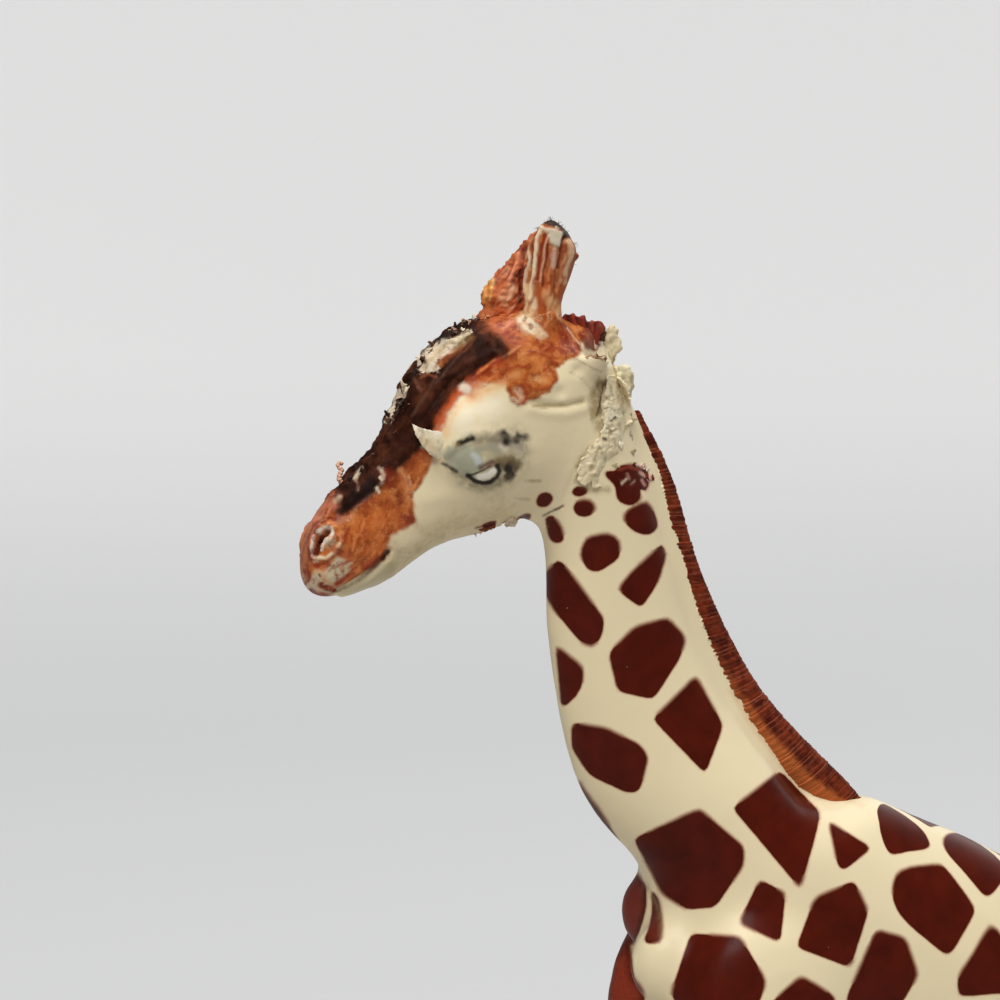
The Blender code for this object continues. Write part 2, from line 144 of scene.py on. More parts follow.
def blend(tree, mask, below, above):
    return add_node(tree, "ShaderNodeMix", {0: mask, 2: below, 3: above}).outputs[0]


def step(tree, value, start, end):
    """0 below start, 1 above end and smooth between."""
    inputs = {"Value": value, "From Min": start, "From Max": end}
    return add_node(tree, "ShaderNodeMapRange", inputs, interpolation_type="SMOOTHSTEP").outputs[0]


def object_place(tree, stretch=None):
    place = add_node(tree, "ShaderNodeTexCoord").outputs["Object"]
    if stretch is None:
        return place
    return add_node(tree, "ShaderNodeMapping", {"Vector": place, "Scale": stretch}).outputs[0]


def noise(tree, place, size, detail=3.0, rough=0.55):
    """Cloudy random values from 0 to 1, with clouds of about that size in mm."""
    inputs = {"Vector": place, "Scale": 1 / (size * MM), "Detail": detail, "Roughness": rough}
    return add_node(tree, "ShaderNodeTexNoise", inputs).outputs["Fac"]


def stored(tree, name):
    return add_node(tree, "ShaderNodeAttribute", attribute_name=name).outputs["Fac"]


def bump(tree, height, strength, distance):
    inputs = {"Height": height, "Strength": strength, "Distance": distance * MM}
    return add_node(tree, "ShaderNodeBump", inputs).outputs[0]


def new_material(name, rough, coat, shine):
    material = bpy.data.materials.new(name)
    material.use_nodes = True
    tree = material.node_tree
    shader = tree.nodes["Principled BSDF"]
    feed(tree, shader, {"Roughness": rough, "Specular IOR Level": shine, "Coat Weight": coat, "Coat Roughness": 0.25})
    return material, tree, shader


def new_group(name, inputs, outputs):
    """An empty node group, what it is given, and the node that takes what it gives."""
    tree = bpy.data.node_groups.new(name, "ShaderNodeTree")
    for socket, value in inputs.items():
        tree.interface.new_socket(socket, in_out="INPUT", socket_type="NodeSocketFloat").default_value = value
    for socket in outputs:
        tree.interface.new_socket(socket, in_out="OUTPUT", socket_type="NodeSocketFloat")
    return tree, add_node(tree, "NodeGroupInput").outputs, add_node(tree, "NodeGroupOutput")


def use_group(tree, group, inputs):
    return add_node(tree, "ShaderNodeGroup", inputs, node_tree=group).outputs


print("node helpers ready")

# %% [markdown]
# ## Backdrop and light
# A round studio bowl gives every view the same pale ground: a flat floor that curves up into a wall.
# Spinning one profile round the middle makes it. Three big lamps and a plain sky light it softly.

# %% Spin the backdrop
def link(name, mesh):
    item = bpy.data.objects.new(name, mesh)
    bpy.context.scene.collection.objects.link(item)
    return item


def make_backdrop():
    shape = bmesh.new()
    floor_radius, wall_radius, wall_height, steps = 0.75, 1.15, 1.9, 14
    bend = wall_radius - floor_radius
    profile = [(0.0, 0, 0), (floor_radius, 0, 0)]
    for number in range(1, steps + 1):
        turn = math.pi / 2 * number / steps
        profile.append((floor_radius + bend * math.sin(turn), 0, bend * (1 - math.cos(turn))))
    profile = [shape.verts.new(place) for place in profile + [(wall_radius, 0, wall_height)]]
    edges = [shape.edges.new(pair) for pair in zip(profile, profile[1:])]
    bmesh.ops.spin(
        shape, geom=profile + edges, axis=(0, 0, 1), cent=(0, 0, 0), angle=math.tau, steps=96, use_merge=True
    )
    bmesh.ops.remove_doubles(shape, verts=shape.verts, dist=1e-6)
    bmesh.ops.recalc_face_normals(shape, faces=shape.faces)
    mesh = bpy.data.meshes.new("backdrop")
    shape.to_mesh(mesh)
    mesh.shade_smooth()
    return link("backdrop", mesh)


PAPER_FLOOR, PAPER_WALL = (0.16, 0.158, 0.155, 1), (0.4, 0.395, 0.389, 1)  # as the camera sees them
PAPER_SHINE = (0.5, 0.49, 0.48, 1)  # as it lights the figure
PAPER_GLOW = 0.53


def make_paper():
    """Pale paper, which glows for the camera alone, so the picture is bright and the figure isn't washed out."""
    material, tree, shader = new_material("studio_paper", 0.9, 0.0, 0.0)
    ray = add_node(tree, "ShaderNodeLightPath").outputs["Is Camera Ray"]
    height = add_node(tree, "ShaderNodeSeparateXYZ", {0: object_place(tree)}).outputs["Z"]
    paper = tinted(tree, PAPER_FLOOR, PAPER_WALL, step(tree, height, -0.02, 0.2))
    feed(tree, shader, {
        "Base Color": tinted(tree, PAPER_SHINE, paper, ray),
        "Emission Color": (0.98, 0.99, 1.0, 1),
        "Emission Strength": maths(tree, "MULTIPLY", ray, PAPER_GLOW),
    })
    return material


backdrop = make_backdrop()
backdrop.data.materials.append(make_paper())
print("backdrop of", len(backdrop.data.polygons), "faces")


# %% Hang the lamps
HEAD_PLACE = Vector((-0.02, 0, 0.12))


def lamp(name, place, side, watts, tint):
    """A square lamp turned to the head."""
    data = bpy.data.lights.new(name, "AREA")
    data.size, data.energy, data.color = side, watts, tint
    item = link(name, data)
    item.location = place
    item.rotation_mode = "QUATERNION"
    item.rotation_quaternion = (HEAD_PLACE - Vector(place)).to_track_quat("-Z", "Y")


lamp("window", (-0.34, -0.48, 0.8), 0.45, 5.0, (1, 0.98, 0.95))
lamp("ceiling", (0.1, -0.05, 1.0), 0.8, 6.0, (1, 1, 1))
lamp("far_wall", (0.6, 0.5, 0.4), 0.5, 0.8, (1, 0.99, 0.97))
world = bpy.data.worlds.new("sky")
bpy.context.scene.world = world
world.use_nodes = True
feed(world.node_tree, world.node_tree.nodes["Background"], {"Color": (0.95, 0.97, 1.0, 1), "Strength": 0.22})
print(len(bpy.data.lights), "lamps")


# %% [markdown]
# ## Tools for shaping
# The CAD solids are faceted and have gaps at their joints, while the real mouldings are round.
# A voxel remesh turns a copy of them into one even skin, and averaging each point with its neighbours rounds it.

# %% Copies of CAD solids, in mm
def merged_copy(*nodes):
    shape = bmesh.new()
    for node in nodes:
        shape.from_mesh(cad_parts[node].data)
    bmesh.ops.remove_doubles(shape, verts=shape.verts, dist=1e-6)
    bmesh.ops.scale(shape, vec=(1 / MM,) * 3, verts=shape.verts)
    return shape


def swell(shape, factor):
    middle = sum((vertex.co for vertex in shape.verts), Vector()) / len(shape.verts)
    bmesh.ops.scale(shape, vec=(factor,) * 3, space=Matrix.Translation(-middle), verts=shape.verts)


def cut_off(shape, place, normal):
    """Cuts away what lies beyond a plane on its normal's side, and closes the cut."""
    geometry = shape.verts[:] + shape.edges[:] + shape.faces[:]
    bmesh.ops.bisect_plane(shape, geom=geometry, plane_co=place, plane_no=normal, clear_outer=True)
    bmesh.ops.holes_fill(shape, edges=[edge for edge in shape.edges if edge.is_boundary])


def as_mesh(shape, name="draft"):
    mesh = bpy.data.meshes.new(name)
    shape.to_mesh(mesh)
    shape.free()
    return mesh


def join_into(target, part):
    mesh = as_mesh(part)
    target.from_mesh(mesh)
    bpy.data.meshes.remove(mesh)


# %% Remesh, subdivide and read points
def with_modifier(mesh, kind, **settings):
    """The mesh that one modifier makes of a mesh."""
    draft = link("draft", mesh)
    modifier = draft.modifiers.new(kind.lower(), kind)
    for name, value in settings.items():
        setattr(modifier, name, value)
    made = bpy.data.meshes.new_from_object(draft.evaluated_get(bpy.context.evaluated_depsgraph_get()))
    bpy.data.objects.remove(draft)
    return made


def remeshed(mesh, cell):
    return with_modifier(mesh, "REMESH", mode="VOXEL", voxel_size=cell)


def subdivided(mesh, levels=1):
    return with_modifier(mesh, "SUBSURF", levels=levels, render_levels=levels)


def rows_of(items, name, kind, width):
    flat = np.empty(len(items) * width, kind)
    items.foreach_get(name, flat)
    return flat.reshape(-1, width)


def points_of(mesh):
    return rows_of(mesh.vertices, "co", np.float32, 3).astype(float)


def normals_of(mesh):
    return rows_of(mesh.vertex_normals, "vector", np.float32, 3).astype(float)


def surface_of(mesh):
    return points_of(mesh), normals_of(mesh)


def edges_of(mesh):
    return rows_of(mesh.edges, "vertices", np.int32, 2)


def search_tree(mesh):
    return BVHTree.FromPolygons([v.co for v in mesh.vertices], [p.vertices[:] for p in mesh.polygons])


def move_points(mesh, points):
    mesh.vertices.foreach_set("co", np.asarray(points, np.float32).ravel())
    mesh.update()


def averaged(values, edges, rounds, share=0.5):
    """Moves each point's values towards the mean of its neighbours' values."""
    values = np.array(values, float).reshape(len(values), -1)
    share = np.broadcast_to(np.asarray(share, float), len(values))[:, None]
    ends = np.concatenate([edges, edges[:, ::-1]])
    count = np.maximum(np.bincount(ends[:, 0], minlength=len(values)), 1)[:, None]
    for _ in range(rounds):
        columns = [np.bincount(ends[:, 0], column[ends[:, 1]], len(values)) for column in values.T]
        values += share * (np.stack(columns, axis=1) / count - values)
    return values


# %% Smooth steps and seeded roughness
def ramp(values, start, end):
    share = np.clip((values - start) / (end - start), 0, 1)
    return share * share * (3 - 2 * share)


def lattice_value(cells, seed):
    """A fixed random number from -1 to 1 for each whole-numbered cell."""
    mixed = cells.astype(np.int64) @ np.array((374761393, 668265263, 2147483647)) + seed * 1274126177
    mixed = (mixed ^ (mixed >> 13)) * 1274126177 & 0xFFFFFFFF
    return ((mixed ^ (mixed >> 16)) & 0xFFFF) / 32767.5 - 1


def roughness(points, size, seed, layers=2):
    """Smooth random heights about -1 to 1, with bumps of about that size in mm."""
    total = np.zeros(len(points))
    weight = 1.0
    for layer in range(layers):
        scaled = points / size * 2**layer
        cell = np.floor(scaled)
        share = scaled - cell
        share = share * share * (3 - 2 * share)
        for corner in np.ndindex(2, 2, 2):
            weights = np.prod(np.where(corner, share, 1 - share), axis=1)
            total += weight * weights * lattice_value(cell + corner, seed + layer)
        weight *= 0.5
    return total


# %% Distances in the picture
def pairs(line):
    """Picture points of a row of numbers: x, y, x, y and so on."""
    return np.reshape(line, (-1, 2)).astype(float)


def along(points, line):
    """How far each picture point is from a line of points, in pixels."""
    line = pairs(line)
    best = np.full(len(points), 1e9)
    for start, end in zip(line, line[1:]):
        way = end - start
        share = np.clip(((points - start) @ way) / max(way @ way, 1e-9), 0, 1)
        best = np.minimum(best, norm(points - start - share[:, None] * way, axis=1))
    return best


def outside(points, outline):
    """How far each picture point is outside an outline, in pixels, and below zero inside it."""
    outline = pairs(outline)
    inside = np.zeros(len(points), bool)
    for (x0, y0), (x1, y1) in zip(outline, np.roll(outline, -1, axis=0)):
        if y0 != y1:
            crosses = (points[:, 1] < y0) != (points[:, 1] < y1)
            inside ^= crosses & (points[:, 0] < (x1 - x0) * (points[:, 1] - y0) / (y1 - y0) + x0)
    distance = along(points, np.vstack([outline, outline[:1]]))
    return np.where(inside, -distance, distance)


PIXEL = 0.115  # mm in the picture, at the figure

# %% [markdown]
# ## One skin for head and body
# On the real toy paint and wear hide where the head is plugged on, so both mouldings are cut from one skin.
# Their cut edges then meet exactly. The seats of horns, ears and legs are filled first, as the glued parts fill them.

# %% Fuse and even the skin
LEG_NODES = ("front_left_leg", "front_right_leg", "rear_left_leg", "rear_right_leg")
PAD_FOOT = 62  # mm up: the skin takes in the legs' pads above it
HORN_ROOT = 2.6  # mm of each horn that the skin takes in
whole = merged_copy("trunk", "head")
for node in LEG_NODES:
    pad = merged_copy(node)
    cut_off(pad, (0, 0, PAD_FOOT), (0, 0, -1))
    swell(pad, 1.03)
    join_into(whole, pad)
for node in ("left_ear", "right_ear", "left_horn", "right_horn"):
    root = merged_copy(node)
    if "horn" in node:
        cut_off(root, (0, 0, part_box(node)[0].z / MM + HORN_ROOT), (0, 0, 1))
    swell(root, 1.25)
    join_into(whole, root)
faceted = as_mesh(whole)
skin = remeshed(faceted, 0.9)
print("skin", len(skin.vertices), "points")

# %% Round it, and give back the thickness that rounding takes
NAPE = np.array((-20.47, 0, 156.57))
THROAT = np.array((-27.92, 0, 134.79))
HEAD_LINE = (NAPE - THROAT) / norm(NAPE - THROAT)
HEAD_NORMAL = np.array((-HEAD_LINE[2], 0, HEAD_LINE[0]))


def towards_head(points):
    """How far points are on the head's side of the flat line where it is plugged on, in mm."""
    return (points - THROAT) @ HEAD_NORMAL


def rounded(mesh, cad, share, rounds, fill_rounds):
    """Rounds a mesh and fills it out to the CAD solid's size."""
    points, edges = points_of(mesh), edges_of(mesh)
    points = averaged(points, edges, rounds, share)
    move_points(mesh, points)
    normals = normals_of(mesh)
    tree = search_tree(cad)
    lost = np.zeros(len(points))
    for number, (point, normal) in enumerate(zip(points, normals)):
        nearest = tree.find_nearest(Vector(point))[0]
        lost[number] = (np.array(nearest) - point) @ normal
    lost = averaged(np.clip(lost, -1.5, 1.5), edges, fill_rounds)
    move_points(mesh, points + normals * lost)


# %% Round the skin, and leave the mane to its own piece
def on_plane(place, level=0.0):
    """The point seen at a place in the picture, on the upright plane that many mm to the right of the middle."""
    way = sight_line(place)
    return LENS_PLACE + way * ((level - LENS_PLACE[1]) / way[1])


def near_line(points, line, rows):
    """How far points are from a line in space in mm, and the line's rows of values at its nearest place."""
    best = np.full(len(points), 1e9)
    found = np.zeros((len(points), rows.shape[1]))
    for start, end, first, last in zip(line, line[1:], rows, rows[1:]):
        way = end - start
        share = np.clip(((points - start) @ way) / (way @ way), 0, 1)
        away = norm(points - start - share[:, None] * way, axis=1)
        nearer = away < best
        best = np.where(nearer, away, best)
        found[nearer] = (first + share[:, None] * (last - first))[nearer]
    return best, found


# The mane's crest in the picture, its height and half its width at the foot in mm
MANE = (
    (633, 394, 0.6, 0.5), (643, 418, 0.85, 0.75), (657, 441, 1.1, 0.95), (667, 462, 1.1, 1.1), (676, 484, 1.35, 1.2),
    (686, 522, 1.6, 1.4), (697, 560, 1.55, 1.5), (711, 596, 1.8, 1.7), (728, 632, 2.2, 1.9), (755, 681, 2.65, 2.2),
    (781, 713, 3.5, 2.6), (819, 752, 3.9, 2.6), (848, 780, 3.0, 2.1), (868, 806, 0.6, 1.2),
)
MANE_CREST = np.array([on_plane(row[:2]) for row in MANE])
CREST_WAY = np.gradient(MANE_CREST, axis=0)
CREST_OUT = np.cross((0, 1, 0), CREST_WAY / norm(CREST_WAY, axis=1)[:, None])
CREST_OUT *= np.sign(CREST_OUT[:, :1])
CREST_ROWS = np.hstack([CREST_OUT, np.array(MANE)[:, 2:]])

skin_points = points_of(skin)
in_head = ramp(towards_head(skin_points), -6, 2)
rounded(skin, faceted, 0.5 - 0.3 * in_head, 26, 14)
skin_points = points_of(skin)
away, crest = near_line(skin_points, MANE_CREST, CREST_ROWS)
height, half_width = crest[:, 3], crest[:, 4]
sunk = np.maximum(height - 0.35 * half_width - 0.9, -0.4) * (1 - ramp(away, 0.4 + 0.4 * height, 8.0 + 2.6 * height))
move_points(skin, skin_points - crest[:, :3] * sunk[:, None])
print("skin rounded, and sunk under", len(MANE), "places of the mane")

# %% Cut it at the head line
NOSTRIL_BOX = (300, 512, 345, 512, 360, 560, 345, 598, 300, 604)
EYE_BOX = (436, 438, 460, 426, 528, 424, 530, 476, 500, 492, 462, 490, 440, 474)
FINE_NECK = 126  # mm up, where the nape's cracks and patches start


def cut_skin(mesh, side, levels):
    """One side of the skin with its cut edge closed, subdivided, and finer where small forms and strokes lie."""
    shape = bmesh.new()
    shape.from_mesh(mesh)
    geometry = shape.verts[:] + shape.edges[:] + shape.faces[:]
    plane = Vector(HEAD_NORMAL * side)
    bmesh.ops.bisect_plane(shape, geom=geometry, dist=0.02, plane_co=THROAT, plane_no=plane, clear_inner=True)
    part = subdivided(as_mesh(shape), levels)
    shape = bmesh.new()
    shape.from_mesh(part)
    places = to_picture([vertex.co for vertex in shape.verts])
    boxed = np.minimum(outside(places, NOSTRIL_BOX), outside(places, EYE_BOX)) < 0
    shape.verts.index_update()
    fine = [v.co.z > FINE_NECK if side < 0 else near and v.co.y < 0 for v, near in zip(shape.verts, boxed)]
    chosen = [edge for edge in shape.edges if all(fine[vertex.index] for vertex in edge.verts)]
    bmesh.ops.subdivide_edges(shape, edges=chosen, cuts=1, use_grid_fill=True)
    rim = [edge for edge in shape.edges if edge.is_boundary]
    bmesh.ops.holes_fill(shape, edges=rim)
    for edge in rim:
        edge.smooth = False
    bmesh.ops.triangulate(shape, faces=[face for face in shape.faces if len(face.verts) > 4])
    return as_mesh(shape)


head_mesh = cut_skin(skin, 1, 2)
body_mesh = cut_skin(skin, -1, 1)
print("head", len(head_mesh.polygons), "faces, body", len(body_mesh.polygons))


# %% [markdown]
# ## Painted spots
# The factory masks print polygons with soft rounded corners and leave even cream bands between them.
# Spots on the near side are outlines in the picture. Everywhere else each point belongs to the nearest of many
# seeds spread over the skin, which gives the same straight-sided cells.

# %% Outlines of the near spots, in the picture
SPOTS = (
    (606, 471, 616, 472, 618, 466, 634, 464, 641, 469, 646, 466, 648, 475, 649, 482, 646, 491, 639, 488, 641, 498,
     634, 505, 624, 504, 617, 499, 616, 486, 611, 481, 606, 476),
    (647, 501, 654, 512, 658, 527, 650, 535, 635, 532, 623, 520, 627, 510),
    (608, 533, 620, 541, 619, 558, 598, 572, 587, 569, 580, 555, 586, 538),
    (662, 544, 666, 555, 658, 582, 642, 606, 636, 604, 618, 590, 629, 575),
    (558, 560, 566, 567, 604, 619, 601, 638, 592, 647, 581, 642, 554, 610, 546, 595, 545, 573),
    (556, 646, 583, 667, 583, 682, 576, 696, 562, 708),
    (668, 618, 686, 638, 679, 659, 653, 699, 618, 691, 609, 653, 635, 627),
    (696, 676, 722, 724, 721, 731, 705, 773, 653, 719),
    (572, 723, 605, 728, 640, 745, 648, 757, 640, 790, 628, 793, 590, 775, 572, 748),
    (780, 771, 820, 813, 814, 840, 800, 888, 733, 808),
    (634, 839, 699, 809, 744, 847, 743, 866, 715, 907, 686, 909, 662, 894, 648, 866),
    (829, 822, 871, 848, 844, 870, 838, 865),
    (760, 880, 785, 893, 780, 942, 739, 923),
    (815, 898, 854, 881, 868, 911, 850, 967, 797, 947),
    (691, 934, 740, 937, 766, 981, 752, 1022, 700, 1040, 671, 994),
    (801, 976, 834, 996, 842, 1030, 812, 1056, 777, 1040, 772, 1002),
    (876, 930, 905, 938, 918, 975, 896, 1012, 858, 1020, 846, 1000),
    (536, 500, 541, 492, 551, 493, 553, 500, 546, 507, 538, 506),
    (571, 493, 577, 486, 587, 488, 587, 493, 579, 497),
    (573, 508, 578, 500, 590, 500, 596, 508, 590, 516, 578, 516),
    (545, 518, 553, 515, 562, 528, 564, 540, 557, 543, 550, 540),
    (517, 520, 524, 514, 531, 514, 529, 520, 521, 523),
    (481, 526, 489, 522, 497, 521, 494, 525, 486, 528),
)
FAR_SPOTS = (
    (626, 868, 638, 874, 646, 887, 646, 908, 640, 929, 632, 947, 618, 940, 612, 900),
    (643, 943, 649, 930, 653, 912, 651, 890, 658, 898, 661, 914, 662, 930, 660, 943),
    (630, 940, 633, 978, 643, 990, 645, 1010, 600, 1010, 606, 970, 620, 944),
    (578, 780, 584, 790, 600, 811, 611, 829, 624, 849, 612, 842, 590, 815),
)


def corners_cut(outline, cut=6.0):
    """An outline with its corners rounded over that many pixels."""
    outline = pairs(outline)
    result = []
    for before, corner, after in zip(np.roll(outline, 1, axis=0), outline, np.roll(outline, -1, axis=0)):
        ends = [corner + (end - corner) * min(0.42, cut / norm(end - corner)) for end in (before, after)]
        result += [ends[0], ends[0] * 0.25 + corner * 0.5 + ends[1] * 0.25, ends[1]]
    return np.array(result)


SPOTS = [corners_cut(outline) for outline in SPOTS + FAR_SPOTS]
print(len(SPOTS), "spots seen in the picture")


# %% Spread seeds for the other spots
def lens_side(points, normals):
    """The cosine between each normal and the way to the lens."""
    way = LENS_PLACE - points
    return np.sum(normals * way, axis=1) / norm(way, axis=1)


def spot_spacing(points):
    """How far apart the spots are: small by the head and down the legs, large on the barrel."""
    height = points[:, 2]
    neck = np.interp(height, (88, 100, 120, 138), (12.0, 10.5, 8.0, 5.0))
    limb = np.interp(height, (12, 30, 55, 75), (4.0, 5.2, 8.5, 12.0))
    return np.where(height > 88, neck, np.where(height < 75, limb, 12.0))


leg_faceted = {node: as_mesh(merged_copy(node)) for node in LEG_NODES}
ground = [surface_of(body_mesh)]
for mesh in leg_faceted.values():
    fine = remeshed(mesh, 0.9)
    ground.append(surface_of(fine))
ground_points = np.vstack([points for points, normals in ground])
ground_normals = np.vstack([normals for points, normals in ground])
ground_picture = to_picture(ground_points)
in_photo = (lens_side(ground_points, ground_normals) > 0) & (ground_picture[:, 0] < 880)
in_photo &= ground_picture[:, 1] < 1005

photo_seeds = []
for outline in SPOTS:
    middle = np.mean(outline, axis=0)
    facing = np.where(lens_side(ground_points, ground_normals) > 0)[0]
    near = facing[np.argmin(norm(ground_picture[facing] - middle, axis=1))]
    photo_seeds.append(ground_points[near])
seeds = list(photo_seeds)
order = np.random.default_rng(11).permutation(len(ground_points))
spacing = spot_spacing(ground_points) * 0.8
for number in order:
    point = ground_points[number]
    if in_photo[number] or point[2] < 15 or (ground_normals[number, 2] < -0.75 and point[2] > 50):
        continue
    if np.min(norm(np.array(seeds) - point, axis=1)) > spacing[number]:
        seeds.append(point)
SEEDS = np.array(seeds)
print(len(SEEDS), "seeds, of which", len(photo_seeds), "are near spots")


# %% Distance to the edge of the nearest spot
CHUNK = 4000  # points at a time, to spare memory
CORNER = 2.2  # how sharp the cells' corners are, per mm


def cell_distance(points, gap):
    """Distance outside the nearest seed's cell in mm, its number, and how far up its nearest side looks."""
    apart = norm(SEEDS[:, None] - SEEDS[None], axis=2) + np.eye(len(SEEDS))
    found = []
    for start in range(0, len(points), CHUNK):
        squared = ((points[start : start + CHUNK, None] - SEEDS[None]) ** 2).sum(axis=2)
        first = squared.argmin(axis=1)
        rows = np.arange(len(first))
        walls = (squared - squared[rows, first][:, None]) / (2 * apart[first])
        walls[rows, first] = 1e3
        closest = walls.argmin(axis=1)
        upward = (SEEDS[closest] - SEEDS[first])[:, 2] / apart[first, closest]
        rounded_wall = -np.log(np.exp(-np.minimum(walls, 60) * CORNER).sum(axis=1)) / CORNER
        found.append((gap[start : start + CHUNK] / 2 - rounded_wall, first, upward))
    return [np.concatenate(column) for column in zip(*found)]


def spot_paint(points, normals):
    """Signed distance outside the spots in mm, and how soft their edge is from 0 to 1."""
    warp = np.stack([roughness(points, 5.0, seed, 1) for seed in (3, 4, 5)], axis=1) * 0.45
    gap = np.interp(points[:, 2], (30, 80, 140), (1.5, 2.3, 1.6))
    cells, nearest, upward = cell_distance(points + warp, gap)
    fade = ramp(-points[:, 2], -26, -14)
    belly = ramp(-normals[:, 2], 0.55, 0.85) * ramp(points[:, 2], 50, 58)
    throat = ramp(points[:, 2], 84, 90) * ramp(-normals[:, 0], 0.93, 0.99)
    bare_foot = ramp(-points[:, 2], -18, -13)
    cells += 3.5 * fade + 14.0 * bare_foot + 4.0 * belly + 2.5 * throat
    picture = to_picture(points)
    drawn = np.full(len(points), 1e3)
    for outline in SPOTS:
        drawn = np.minimum(drawn, outside(picture, outline) * PIXEL)
    facing = lens_side(points, normals)
    away = np.maximum(drawn, cells)
    photo_cell = nearest < len(photo_seeds)
    result = np.where(photo_cell, np.where(facing > 0, drawn, away), cells)
    hidden = np.minimum(result, cells)
    seen = (facing > 0) * (1 - ramp(picture[:, 0], 866, 888)) * (1 - ramp(picture[:, 1], 1002, 1012))
    result = np.where(photo_cell, result, hidden)
    result += (np.minimum(drawn, 3) - result) * seen
    soft = ramp(upward, -0.1, 0.8)
    return result, soft


def store(mesh, name, values):
    """Keeps one number per point under a name, for the material to read."""
    attribute = mesh.attributes.new(name, "FLOAT", "POINT")
    attribute.data.foreach_set("value", np.asarray(values, np.float32))


def store_coat(mesh, spot, soft, hoof):
    """Keeps what the spotted coat reads. Each of the three may be one number for the whole mesh."""
    for name, values in (("spot", spot), ("spot_soft", soft), ("hoof", hoof)):
        store(mesh, name, np.broadcast_to(values, len(mesh.vertices)))


# %% Brush strokes in the picture
def screen(tint):
    """Linear light of a colour as a screen shows it, written 0xRRGGBB."""
    return np.array([((level / 255 + 0.055) / 1.055) ** 2.4 for level in tint.to_bytes(3, "big")])


def folded(points):
    """Points with those of the far side mirrored to the near one."""
    return np.where(points[:, 1:2] > 0, points * (1, -1, 1), points)


def both_sides(points, normals):
    """Picture places of points, the same mirrored for the far side, and how far each point looks to the lens."""
    return to_picture(points), to_picture(folded(points)), ramp(lens_side(points, normals), -0.02, 0.12)


def stroke_masks(places, strokes, shake=0.0):
    """How strongly each stroke covers each point: a line with a half width and a soft edge, or a filled outline."""
    seen, hidden, facing = places
    for tint, strength, half_width, feather, line, *relief in strokes:
        reach = along if half_width else outside
        away = reach(hidden, line)
        away += (reach(seen, line) - away) * facing + shake * feather - half_width
        yield tint, strength, sum(relief), 1 - ramp(away, -feather, feather)


def store_brush(mesh, colour, cover):
    """Keeps brushed colours, which the material lays over its own."""
    rows = np.column_stack([np.broadcast_to(colour, (len(mesh.vertices), 3)), np.ones(len(mesh.vertices))])
    mesh.attributes.new("brush", "FLOAT_COLOR", "POINT").data.foreach_set("color", rows.astype(np.float32).ravel())
    store(mesh, "cover", np.broadcast_to(cover, len(mesh.vertices)))


def brush(mesh, strokes, seed=7, shake=0.6, relief=True):
    """Lays strokes on a mesh in mm one over the other: first their relief, then their colours."""
    points, normals = surface_of(mesh)
    places = both_sides(points, normals)
    shaken = roughness(points, 0.8, seed, 2) * shake
    colour, cover, height = np.zeros((len(points), 3)), np.zeros(len(points)), np.zeros(len(points))
    for tint, strength, lift, mask in stroke_masks(places, strokes, shaken):
        colour += (strength * mask)[:, None] * (screen(tint) - colour)
        cover += strength * mask * (1 - cover)
        height += lift * mask
    store_brush(mesh, colour / np.maximum(cover, 1e-6)[:, None], cover)
    if relief:
        move_points(mesh, points + normals * height[:, None])


def streaks(seed, count, outline, way, length, half_widths, tints, strength):
    """Seeded short strokes inside an outline, all lying about one way."""
    picker = random.Random(seed)
    outline = pairs(outline)
    low, high = outline.min(axis=0), outline.max(axis=0)
    rows = []
    while len(rows) < count:
        place = np.array([picker.uniform(*pair) for pair in zip(low, high)])
        reach = np.array(way) * picker.uniform(*length) / 2
        reach = reach + reach[::-1] * picker.uniform(-0.25, 0.25)
        bend = picker.uniform(-1.5, 1.5)
        if outside(np.array([place - reach, place + reach]), outline).max() < -1:
            line = (*(place - reach), *(place + (bend, -bend)), *(place + reach))
            rows.append((picker.choice(tints), strength, picker.uniform(*half_widths), 1.3, line))
    return tuple(rows)


# %% [markdown]
# ## Plastics and paints
# Every finish is semi-gloss soft plastic with paint on top, so the same two effects come back in all of them:
# the ragged edge of a coat of paint, and the fine grain and scuffs of the surface. Both are node groups.

# %% Group: the edge of a coat of paint
def make_paint_edge():
    """Turns a distance outside a painted area, in mm, into a mask with a soft and ragged edge."""
    sockets = {"Distance": 1.0, "Softness": 0.1, "Raggedness": 0.1, "Grain": 1500.0, "Shift": 0.0}
    tree, given, out = new_group("paint_edge", sockets, ("Mask",))
    inputs = {"Vector": object_place(tree), "Scale": given["Grain"], "Detail": 4.0, "Roughness": 0.6}
    centred = maths(tree, "SUBTRACT", add_node(tree, "ShaderNodeTexNoise", inputs).outputs["Fac"], 0.5)
    pushed = maths(tree, "MULTIPLY_ADD", centred, given["Raggedness"], given["Distance"])
    share = maths(tree, "DIVIDE", maths(tree, "ADD", pushed, given["Shift"]), given["Softness"])
    feed(tree, out, {"Mask": step(tree, share, 1.0, -1.0)})
    return tree


PAINT_EDGE = make_paint_edge()


def painted(tree, name, softness, raggedness, grain, shift=0.0):
    """The mask of the paint whose distance is stored under that name."""
    inputs = {"Distance": stored(tree, name), "Softness": softness, "Raggedness": raggedness, "Grain": grain}
    return use_group(tree, PAINT_EDGE, {**inputs, "Shift": shift})["Mask"]


print(PAINT_EDGE.name, len(PAINT_EDGE.nodes), "nodes")


